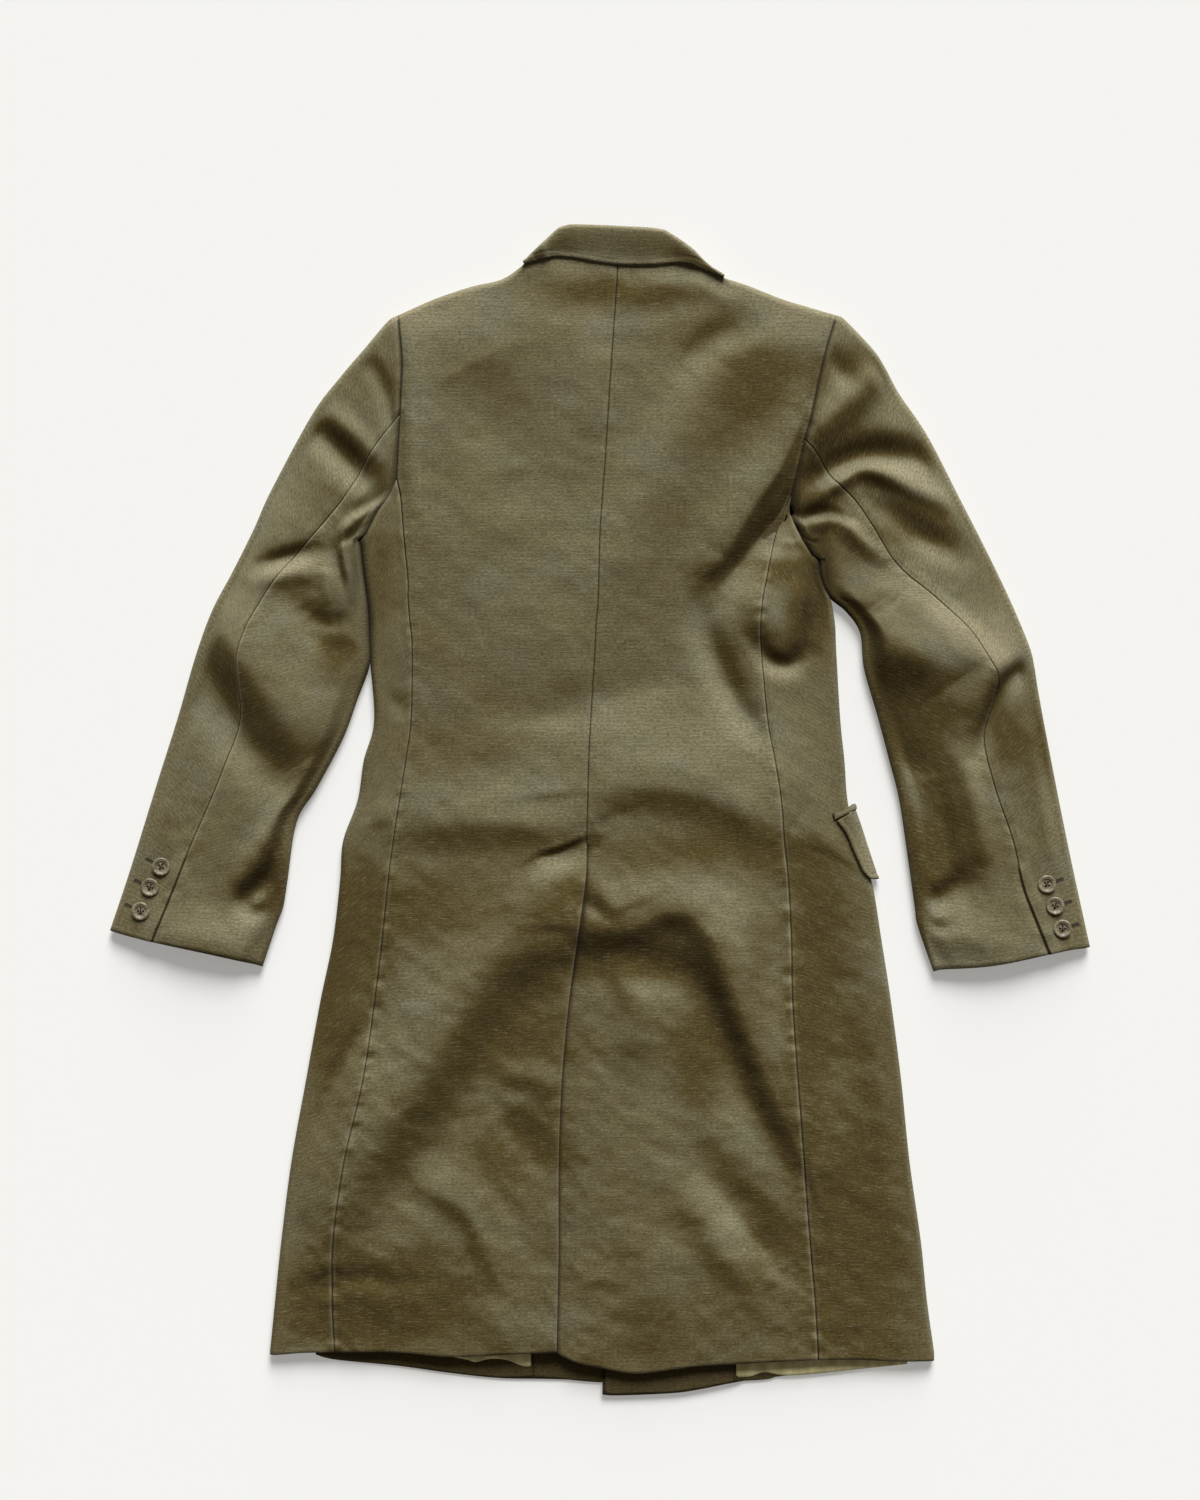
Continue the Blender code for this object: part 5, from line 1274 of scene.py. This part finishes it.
# The collar rolls over at its fold and runs back underneath as a stand to the neck seam.
def collarGrid():
    shares = np.linspace(0, 1, collarSettings["columns"] + 1)
    top, low, neck = (traceAt(line, shares) for line in (collarTop, collarLow, collarSeat))
    across = top - low
    depth = np.linalg.norm(across, axis=1)[:, None]
    roll = collarSettings["roll"] * np.clip(depth[:, 0] / collarSettings["rollDepth"],
                                            collarSettings["tipRoll"], 1)
    flat = top - across / depth * np.minimum(roll[:, None], depth * 0.75)
    ahead = ((flat - neck) * across / depth).sum(axis=1)
    base = bodyBase(neck[:, 0], neck[:, 1])
    sunk = ease(ahead / collarSettings["stand"] - 0.3)
    bottom = base + layerGap - (layerGap + collarSettings["sink"]) * sunk
    stack = 2 * collarCloth + collarSettings["air"]
    crest = bottom + 2 * roll
    length = np.linalg.norm(flat - low, axis=1)
    rows = []
    for share in np.linspace(0, 1, collarSettings["fallRows"] + 1):
        plan = low + share * (flat - low)
        lie = bodyBase(plan[:, 0], plan[:, 1]) + layerGap + stack
        lie = np.maximum(lie, crest - collarSettings["slope"] * length)
        rows.append(lifted(plan, lie + (crest - lie) * ease(np.array(share))))
    # At its ends the collar drops round the neck instead of turning back under itself.
    ends = 1 - ease((ahead - collarSettings["stand"] + 1) / 4)
    for turn in np.linspace(0, math.pi, collarSettings["rollRows"] + 1)[1:]:
        plan = flat + (top - flat) * math.sin(turn)
        level = bottom + roll * (1 + math.cos(turn))
        if turn > math.pi / 2:
            drop = turn / (math.pi / 2) - 1
            outside = top + across / depth * 0.8 * ease(drop)
            plan += ends[:, None] * (outside - plan)
            level += ends * (bottom + roll - drop * (bottom + roll - collarSettings["endFoot"]) - level)
        rows.append(lifted(plan, level))
    for share in np.linspace(0, 1, collarSettings["standRows"] + 1)[1:]:
        plan = flat + share * (neck - flat)
        rows.append(lifted(plan, bottom + share * (base - stack - bottom)))
    grid = np.array(rows)
    grid[-collarSettings["standRows"]:, ahead < collarSettings["stand"]] = np.nan
    return grid


def makeCollar():
    grid = collarGrid()
    gap = spread(grid, 0)
    x = grid[..., 0]
    fine, broad = seeds["collar"]
    fromStitch = gap - collarSettings["stitchAt"]
    dip = (-collarSettings["stitchDepth"] * np.exp(-(fromStitch / 0.9) ** 2)
           + 0.3 * np.exp(-((gap - 3.0) / 2.0) ** 2))
    dip += (0.3 * noise(x, gap, 9, fine) * np.exp(-(gap / 9) ** 2)
            + 0.5 * noise(x, gap, 26, broad) * ease(gap / 8))
    outward = normals(grid)
    weave = np.stack([x, np.broadcast_to(gap + 560, x.shape)], axis=-1)
    # paler beside the stitches, and painted shade along the lower edge where the collar lies on the back
    wearAndShade = 0.25 * np.exp(-(fromStitch / 3.0) ** 2) - 0.55 * np.exp(-(gap / 1.6) ** 2)
    wearAndShade = np.nan_to_num(wearAndShade)
    upper = grid + dip[..., None] * outward
    meshWall("cloth_collar_fall", upper, grid - collarCloth * outward, weave, wearAndShade, canvas)
    second = grid - (collarCloth + 0.2) * outward
    second[0, :, 1] -= 0.9 * ease(x[0] / 40) + 0.5      # the under collar shows below the fall
    meshWall("cloth_collar_under", second, second - collarCloth * outward, weave, wearAndShade * 0.6, canvas)
    return upper


collarTopGrid = makeCollar()
print("collar made")


# How far round the folded edge a pocket piece goes, its gap to the body, its columns on the flat and
# round the edge, and how low it may come.
pocketSettings = {"turned": math.radians(135), "gap": 1.8, "flatColumns": 8, "turnColumns": 22,
                  "lowest": 0.15}


# A piece on the right hip that follows the body's folded edge, from its rear edge round.
def pocketPiece(name, rear, outer, rows, wavy):
    shares = np.linspace(0, 1, rows + 1)
    lines = []
    flatColumns = pocketSettings["flatColumns"]
    clear = pocketSettings["gap"] + cloth
    for start, end in zip(traceAt(rear, shares), traceAt(outer, shares)):
        flat = outline("right", start[1])
        reach = end[0] - flat
        first = math.asin(np.clip((start[0] - flat) / reach, 0, 1))
        turns = np.linspace(first, pocketSettings["turned"], pocketSettings["turnColumns"])
        across = flat + reach * np.sin(turns)
        middle = edgeHeight / 2
        height = middle + (middle + clear) * np.cos(turns)
        if start[0] < flat - 0.5:
            flatPart = np.linspace(start[0], flat - 0.4, flatColumns)
        else:
            flatPart = across[0] - np.linspace(0.4, 0.05, flatColumns)
        rest = np.full(flatColumns, height[0])
        across, height = np.concatenate([flatPart, across]), np.concatenate([rest, height])
        level = start[1] + (end[1] - start[1]) * (across - start[0]) / (end[0] - start[0])
        lines.append(np.column_stack([across, level, height]))
    grid = np.array(lines)
    outward = -normals(grid)
    fromEdge = np.minimum(spread(grid, 1), spread(grid, 0)[-1:] - spread(grid, 0))
    swell = wavy * np.exp(-((fromEdge - 2) / 1.6) ** 2) - 0.4 * np.exp(-((fromEdge - 5) / 0.9) ** 2)
    grid = grid + swell[..., None] * outward
    grid[..., 2] = np.maximum(grid[..., 2], pocketSettings["lowest"])
    # a paler band a little in from the edges, and painted shadow of the gap along the very edges
    wearAndShade = 0.5 * np.exp(-((fromEdge - 4) / 3.0) ** 2) - 1.0 * np.exp(-(fromEdge / 0.9) ** 2)
    weave = np.stack([grid[..., 0] + spread(grid, 1) * 0.3, grid[..., 1]], axis=-1)
    parts = [part[::-1] for part in (grid, grid - cloth * outward, weave, wearAndShade)]
    meshWall(name, *parts, canvas)
    return grid


flapGrid = pocketPiece("cloth_pocket_flap", flapRear, flapOuter, 40, 0.5)
pocketPiece("cloth_pocket_jet", jetRear, jetOuter, 12, 0.3)
print("pocket made")


# Height of a fine grid of points at a place in plan, from its nearest points.
def heightOn(top, place):
    points = top.reshape(-1, 3)
    gap = np.hypot(points[:, 0] - place[0], points[:, 1] - place[1])
    near = np.argsort(gap)[:12]
    share = 1 / (gap[near] + 0.3) ** 2
    return (points[near, 2] * share).sum() / share.sum()


# A turned solid from a half section of (distance, height) pairs.
def lathe(name, profile, steps, finish):
    radius, height = np.array(profile, float).T
    angle = np.linspace(0, 2 * math.pi, steps, endpoint=False)
    points = np.stack([radius[:, None] * np.cos(angle), radius[:, None] * np.sin(angle),
                       np.broadcast_to(height[:, None], (len(radius), steps))], axis=-1)
    count = len(radius)
    row, place = np.meshgrid(np.arange(count), np.arange(steps), indexing="ij")
    after = (row + 1) % count
    faces = np.stack([row * steps + place, after * steps + place, after * steps + (place + 1) % steps,
                      row * steps + (place + 1) % steps], axis=-1).reshape(-1, 4).astype(np.int32)
    points = points.reshape(-1, 3) * mm
    return meshFrom(name, points, faces[:, ::-1], points[:, :2] * 1000, np.zeros(len(points)), finish)


# The plate is the button's thin middle: its radius, thickness, the height of its own middle, and
# the width of its softened edges. The seat is the distance out at which a button rests.
buttonSettings = {"hole": 1.1, "holeOut": 2.5, "steps": 64, "plate": 5.15, "plateThick": 1.76,
                  "plateMiddle": 0.89, "soft": 0.12, "seat": 7.5, "clear": 0.1, "turn": 0.25}
threadSettings = {"aside": 0.28, "radius": 0.2, "base": 1.6, "arch": 0.42, "secondArch": 0.25}
# Half section of a button without its middle: distance out and height.
buttonProfile = [(5.0, 1.75), (5.7, 1.8), (6.4, 2.1), (7.0, 2.4), (7.6, 2.5), (8.2, 2.3), (8.7, 1.9),
                 (8.8, 1.5), (8.5, 0.9), (7.6, 0.3), (6.2, 0.1), (5.0, 0.0)]


# The button's thin middle with four round holes, made as a plate with its holes cut.
def buttonMiddle(name, finish):
    bpy.ops.mesh.primitive_cylinder_add(vertices=48, radius=buttonSettings["plate"] * mm,
                                        depth=buttonSettings["plateThick"] * mm,
                                        location=(0, 0, buttonSettings["plateMiddle"] * mm))
    plate = bpy.context.object
    plate.name = name
    cutters = []
    for turn in range(4):
        angle = math.pi / 4 + turn * math.pi / 2
        out = buttonSettings["holeOut"]
        place = (out * math.cos(angle) * mm, out * math.sin(angle) * mm)
        bpy.ops.mesh.primitive_cylinder_add(vertices=20, radius=buttonSettings["hole"] * mm, depth=4 * mm,
                                            location=(*place, 0.5 * mm))
        cutters.append(bpy.context.object)
    for cutter in cutters:
        cut = plate.modifiers.new("hole", "BOOLEAN")
        cut.object = cutter
        cut.operation = "DIFFERENCE"
        cut.solver = "EXACT"
    bevel = plate.modifiers.new("soft", "BEVEL")
    bevel.width = buttonSettings["soft"] * mm
    bevel.segments = 2
    bevel.limit_method = "ANGLE"
    graph = bpy.context.evaluated_depsgraph_get()
    mesh = bpy.data.meshes.new_from_object(plate.evaluated_get(graph))
    for cutter in cutters + [plate]:
        bpy.data.objects.remove(cutter, do_unlink=True)
    mesh.name = name
    mesh.materials.clear()
    mesh.materials.append(finish)
    return mesh


# Points and faces of a round tube along a line, with closed ends.
def tube(points, radius, sides=8):
    points = np.array(points, float)
    along = unit(np.gradient(points, axis=0))
    upright = np.array([0.0, 0.0, 1.0])
    first = unit(np.cross(along, np.where(np.abs(along[:, 2:]) > 0.95, np.array([[1.0, 0, 0]]), upright)))
    second = np.cross(along, first)
    angle = np.linspace(0, 2 * math.pi, sides, endpoint=False)
    around = np.cos(angle)[:, None] * first[:, None] + np.sin(angle)[:, None] * second[:, None]
    ring = points[:, None] + radius * around
    count = len(points)
    row, place = np.meshgrid(np.arange(count - 1), np.arange(sides), indexing="ij")
    faces = np.stack([row * sides + place, row * sides + (place + 1) % sides,
                      (row + 1) * sides + (place + 1) % sides, (row + 1) * sides + place], axis=-1)
    ends = np.array([points[0], points[-1]])
    verts = np.concatenate([ring.reshape(-1, 3), ends])
    caps = [[count * sides, (place + 1) % sides, place] for place in range(sides)]
    start = (count - 1) * sides
    caps += [[count * sides + 1, start + place, start + (place + 1) % sides] for place in range(sides)]
    return verts, faces.reshape(-1, 4).tolist() + caps


# One mesh object from (points, faces) pairs in millimetres.
def joined(name, shapes, finish):
    points, faces, start = [], [], 0
    for verts, quads in shapes:
        points.append(np.array(verts))
        faces += [[start + corner for corner in face] for face in quads]
        start += len(verts)
    mesh = bpy.data.meshes.new(name)
    mesh.from_pydata((np.concatenate(points) * mm).tolist(), [], faces)
    mesh.materials.append(finish)
    mesh.shade_smooth()
    made = bpy.data.objects.new(name, mesh)
    bpy.context.scene.collection.objects.link(made)
    return made


# Threads through a button's holes, crossed on top.
def threadCross(tilt):
    shapes = []
    out = buttonSettings["holeOut"]
    aside, base, arch = (threadSettings[key] for key in ("aside", "base", "arch"))
    for turn, shift in ((0, -aside), (0, aside), (1, -aside), (1, aside)):
        angle = math.pi / 4 + turn * math.pi / 2 + tilt
        share = np.linspace(-1, 1, 13)
        rise = arch + threadSettings["secondArch"] * turn
        lift = base + rise * np.sqrt(np.clip(1 - share ** 4, 0, 1)) - 1.0 * (np.abs(share) > 0.99)
        reach = out * share
        points = np.column_stack([reach * math.cos(angle) - shift * math.sin(angle),
                                  reach * math.sin(angle) + shift * math.cos(angle), lift])
        shapes.append(tube(points, threadSettings["radius"]))
    return shapes


def makeButton(name, node, place, height, tilt):
    rim = lathe(name, buttonProfile, buttonSettings["steps"], horn)
    middle = buttonMiddle(name + "_plate", horn)
    plate = bpy.data.objects.new(name + "_plate", middle)
    bpy.context.scene.collection.objects.link(plate)
    # the threads across the holes take the same near-black as the slits' painted shade
    cross = joined(name + "_thread", threadCross(tilt), slitShade)
    lean = rotation(tilt)
    for part in (rim, plate, cross):
        size = len(part.data.vertices)
        points = np.zeros(size * 3, np.float32)
        part.data.vertices.foreach_get("co", points)
        points = points.reshape(-1, 3)
        if part is not cross:
            points = points @ lean.T
        points += np.array([place[0], place[1], height]) * mm
        part.data.vertices.foreach_set("co", points.astype(np.float32).ravel())
        part.data.update()
        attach(part, "root")
    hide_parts(node)


def rotation(angle):
    cosine, sine = math.cos(angle), math.sin(angle)
    return np.array([[cosine, -sine, 0], [sine, cosine, 0], [0, 0, 1]])


# A buttonhole: its length and that of its slit, the pitch, half length, offset, radius and arch of
# its stitches, and its end bar's place, half width and radius.
holeSettings = {"length": 12.5, "slitLength": 12.4, "slitRadius": 0.65, "pitch": 0.75, "half": 0.62,
                "offset": 1.15, "radius": 0.3, "arch": 0.42, "barAt": 12.8, "barHalf": 1.5,
                "barRadius": 0.42, "start": 4.5}


# A worked buttonhole: a slit between two rows of close stitches, with a bar at its end. The slit is a
# near-black tube: painted shade in its opening.
def buttonhole(name, top, start, direction):
    shapes = []
    direction = unit(np.array(direction, float))
    across = np.array([-direction[1], direction[0]])
    for sideways in (-1, 1):
        for step in np.arange(0, holeSettings["length"], holeSettings["pitch"]):
            middle = np.array(start) + direction * step + across * sideways * holeSettings["offset"]
            half = across * sideways * holeSettings["half"]
            ends = [middle - half, middle + half]
            points = []
            for share in np.linspace(0, 1, 5):
                plan = ends[0] + share * (ends[1] - ends[0])
                lift = holeSettings["arch"] * math.sin(math.pi * share)
                points.append([plan[0], plan[1], heightOn(top, plan) + 0.05 + lift])
            shapes.append(tube(points, holeSettings["radius"], 6))
    barEnd = np.array(start) + direction * holeSettings["barAt"]
    bar = [barEnd + across * share
           for share in np.linspace(-holeSettings["barHalf"], holeSettings["barHalf"], 7)]
    shapes.append(tube([[plan[0], plan[1], heightOn(top, plan) + 0.3] for plan in bar],
                       holeSettings["barRadius"], 6))
    made = joined(name, shapes, thread)
    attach(made, "root")
    gap = [np.array(start) + direction * step for step in np.linspace(-1, holeSettings["slitLength"], 12)]
    line = [[*plan, heightOn(top, plan) + 0.15] for plan in gap]
    dark = joined(name + "_slit_shade", [tube(line, holeSettings["slitRadius"], 6)], slitShade)
    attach(dark, "root")


# Way in which each cuff's buttonholes run away from their buttons.
holeWays = {"left": [(-1, 0.55), (-1, 0.5), (-1, 0.45)], "right": [(1, 0.35), (1, 0.3), (1, 0.3)]}
for side in ("left", "right"):
    top = sleeveTops[side]
    for count, place in enumerate(buttons[side], 1):
        seat = buttonSettings["seat"]
        spots = [(place[0] + seat * math.cos(turn), place[1] + seat * math.sin(turn))
                 for turn in np.linspace(0, 2 * math.pi, 8, endpoint=False)]
        height = max(heightOn(top, spot) for spot in spots) + buttonSettings["clear"]
        makeButton("button_%s_%d_horn" % (side, count), "button_%s_%d" % (side, count), place, height,
                   buttonSettings["turn"] * count)
        way = unit(np.array(holeWays[side][count - 1], float))
        buttonhole("buttonhole_%s_%d" % (side, count), top, np.array(place) + holeSettings["start"] * way,
                   way)
print("buttons made")


# Geometry Nodes that lay a short thread on each point of a line, along its own direction.
def stitchNodes():
    tree = bpy.data.node_groups.new("stitches", "GeometryNodeTree")
    face = tree.interface
    face.new_socket("Geometry", in_out="INPUT", socket_type="NodeSocketGeometry")
    for name in ("Length", "Radius"):
        face.new_socket(name, in_out="INPUT", socket_type="NodeSocketFloat")
    face.new_socket("Thread", in_out="INPUT", socket_type="NodeSocketMaterial")
    face.new_socket("Geometry", in_out="OUTPUT", socket_type="NodeSocketGeometry")
    start, end = tree.nodes.new("NodeGroupInput"), tree.nodes.new("NodeGroupOutput")
    ball = tree.nodes.new("GeometryNodeMeshUVSphere")
    ball.inputs["Segments"].default_value = 6
    ball.inputs["Rings"].default_value = 5
    ball.inputs["Radius"].default_value = 1.0
    size = tree.nodes.new("ShaderNodeCombineXYZ")
    direction = tree.nodes.new("GeometryNodeInputNamedAttribute")
    direction.data_type = "FLOAT_VECTOR"
    direction.inputs["Name"].default_value = "way"
    turn = tree.nodes.new("FunctionNodeAlignRotationToVector")
    turn.axis = "X"
    place = tree.nodes.new("GeometryNodeInstanceOnPoints")
    real = tree.nodes.new("GeometryNodeRealizeInstances")
    paint = tree.nodes.new("GeometryNodeSetMaterial")
    pairs = [
        (start.outputs["Length"], size.inputs[0]),
        (start.outputs["Radius"], size.inputs[1]),
        (start.outputs["Radius"], size.inputs[2]),
        (direction.outputs[0], turn.inputs["Vector"]),
        (start.outputs["Geometry"], place.inputs["Points"]),
        (ball.outputs["Mesh"], place.inputs["Instance"]),
        (turn.outputs[0], place.inputs["Rotation"]),
        (size.outputs[0], place.inputs["Scale"]),
        (place.outputs[0], real.inputs[0]),
        (real.outputs[0], paint.inputs["Geometry"]),
        (start.outputs["Thread"], paint.inputs["Material"]),
        (paint.outputs[0], end.inputs[0]),
    ]
    for source, target in pairs:
        tree.links.new(source, target)
    return tree


stitches = stitchNodes()


# A row of stitches along a line of points in millimetres.
def stitchRow(name, line, pitch, length, radius):
    line = np.array(line, float)
    reach = np.concatenate([[0], np.cumsum(np.linalg.norm(np.diff(line, axis=0), axis=1))])
    spots = np.arange(pitch / 2, reach[-1], pitch)
    points = np.column_stack([np.interp(spots, reach, line[:, axis]) for axis in range(3)])
    along = np.column_stack([np.interp(spots, reach, np.gradient(line[:, axis])) for axis in range(3)])
    along = unit(along)
    mesh = bpy.data.meshes.new(name)
    mesh.from_pydata((points * mm).tolist(), [], [])
    way = mesh.attributes.new("way", "FLOAT_VECTOR", "POINT")
    way.data.foreach_set("vector", along.astype(np.float32).ravel())
    holder = bpy.data.objects.new(name + "_points", mesh)
    bpy.context.scene.collection.objects.link(holder)
    modifier = holder.modifiers.new("stitches", "NODES")
    modifier.node_group = stitches
    sockets = {item.name: item.identifier for item in stitches.interface.items_tree
               if item.in_out == "INPUT"}
    modifier[sockets["Length"]] = length / 2 * mm
    modifier[sockets["Radius"]] = radius * mm
    modifier[sockets["Thread"]] = thread
    holder.update_tag()
    graph = bpy.context.evaluated_depsgraph_get()
    real = bpy.data.meshes.new_from_object(holder.evaluated_get(graph))
    real.name = name
    bpy.data.objects.remove(holder, do_unlink=True)
    made = bpy.data.objects.new(name, real)
    bpy.context.scene.collection.objects.link(made)
    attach(made, "root")


# The line on a grid that stays a distance from its first row.
def rowAt(grid, distance):
    gap = spread(grid, 0)
    line = []
    for place in range(grid.shape[1]):
        if not np.isnan(grid[:6, place]).any():
            line.append([np.interp(distance, gap[:, place], grid[:, place, axis]) for axis in range(3)])
    return np.array(line)


stitchSettings = {"pitch": 2.9, "length": 2.2, "lift": 0.12, "collar": 0.26, "flap": 0.24}
stitchLift = np.array([0, 0, stitchSettings["lift"]])
collarLine = rowAt(collarTopGrid, collarSettings["stitchAt"])[5:-5] + stitchLift
flapLine = flapGrid[2:-5, 6] + stitchLift
for name, line, radius in (("stitches_collar", collarLine, stitchSettings["collar"]),
                           ("stitches_flap", flapLine, stitchSettings["flap"])):
    stitchRow(name, line, stitchSettings["pitch"], stitchSettings["length"], radius)
print("stitches made")

# Each sheet: its name, the node that it stands for, its slot, and the cut in metres of what shows.
sheetFacts = [
    ("cloth_back_left", "back_left", "canvas", (0.24, 1.09)),
    ("cloth_back_right", "back_right", "canvas", (0.27, 1.09)),
    ("cloth_side_left", "side_left", "canvas", (0.10, 0.80)),
    ("cloth_side_right", "side_right", "canvas", (0.18, 0.79)),
    ("cloth_front_left", "front_left", "canvas", (0.37, 1.01)),
    ("cloth_front_right", "front_right", "canvas", (0.35, 1.02)),
    ("cloth_sleeve_top_left", "sleeve_top_left", "canvas", (0.24, 0.66)),
    ("cloth_sleeve_top_right", "sleeve_top_right", "canvas", (0.24, 0.68)),
    ("cloth_sleeve_under_left", "sleeve_under_left", "canvas", (0.20, 0.52)),
    ("cloth_sleeve_under_right", "sleeve_under_right", "canvas", (0.20, 0.52)),
    ("cloth_facing_left", "facing_left", "canvas_inside", (0.123, 0.055)),
    ("cloth_facing_right", "facing_right", "canvas_inside", (0.124, 0.055)),
    ("cloth_turnup_left", "turnup_left", "canvas_inside", (0.207, 0.038)),
    ("cloth_turnup_right", "turnup_right", "canvas_inside", (0.113, 0.038)),
    ("cloth_lining_left", "lining_left", "satin", (0.202, 0.062)),
    ("cloth_lining_right", "lining_right", "satin", (0.172, 0.062)),
    ("cloth_collar_fall", "collar_fall", "canvas", (0.20, 0.07)),
    ("cloth_collar_under", "collar_under", "canvas", (0.20, 0.07)),
    ("cloth_pocket_flap", "pocket_flap", "canvas", (0.03, 0.07)),
    ("cloth_pocket_jet", "pocket_jet", "canvas", (0.03, 0.02)),
]
for name, node, slotName, flat in sheetFacts:
    made = pieces[name]
    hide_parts(node)
    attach(made, "root")

floorSettings = {"Base Color": (0.62, 0.62, 0.612, 1), "Emission Color": (1.0, 1.0, 0.985, 1),
                 "Emission Strength": 0.27, "Roughness": 0.9, "Specular IOR Level": 0.1}
floorSize = 14                       # metres
floorLevel = -0.0004
floorMaterial, _, floorShader = newMaterial("pale floor")
for socket, value in floorSettings.items():
    floorShader.inputs[socket].default_value = value
bpy.ops.mesh.primitive_plane_add(size=floorSize, location=(0, 0, floorLevel))
floor = bpy.context.object
floor.name = "floor"
floor.data.materials.append(floorMaterial)

cameraSettings = {"centre": (0.0, 0.0587), "height": 3.44, "lens": 85, "sensor": 36}
cameraData = bpy.data.cameras.new("camera")
cameraData.lens = cameraSettings["lens"]
cameraData.sensor_width = cameraSettings["sensor"]
camera = bpy.data.objects.new("camera", cameraData)
camera.location = (*cameraSettings["centre"], cameraSettings["height"])
bpy.context.scene.collection.objects.link(camera)
bpy.context.scene.camera = camera

# Lights: elevation, azimuth that it comes from, softness, power and colour.
lights = {
    "window": (39, 80, 30, 3.75, (1.0, 1.0, 0.99)),
    "low window": (15, 84, 34, 1.6, (0.97, 0.98, 1.0)),
}
for name, (elevation, azimuth, spreadAngle, power, colour) in lights.items():
    data = bpy.data.lights.new(name, "SUN")
    data.angle = math.radians(spreadAngle)
    data.energy = power
    data.color = colour
    lamp = bpy.data.objects.new(name, data)
    lamp.rotation_euler = (math.radians(90 - elevation), 0, math.radians(azimuth + 90))
    bpy.context.scene.collection.objects.link(lamp)
worldSettings = {"colour": (1.0, 0.90, 0.76, 1), "strength": 0.15}
world = bpy.data.worlds.new("studio")
bpy.context.scene.world = world
world.use_nodes = True
background = world.node_tree.nodes["Background"]
background.inputs[0].default_value = worldSettings["colour"]
background.inputs[1].default_value = worldSettings["strength"]
bpy.context.scene.view_settings.view_transform = "Standard"
print("stage made")
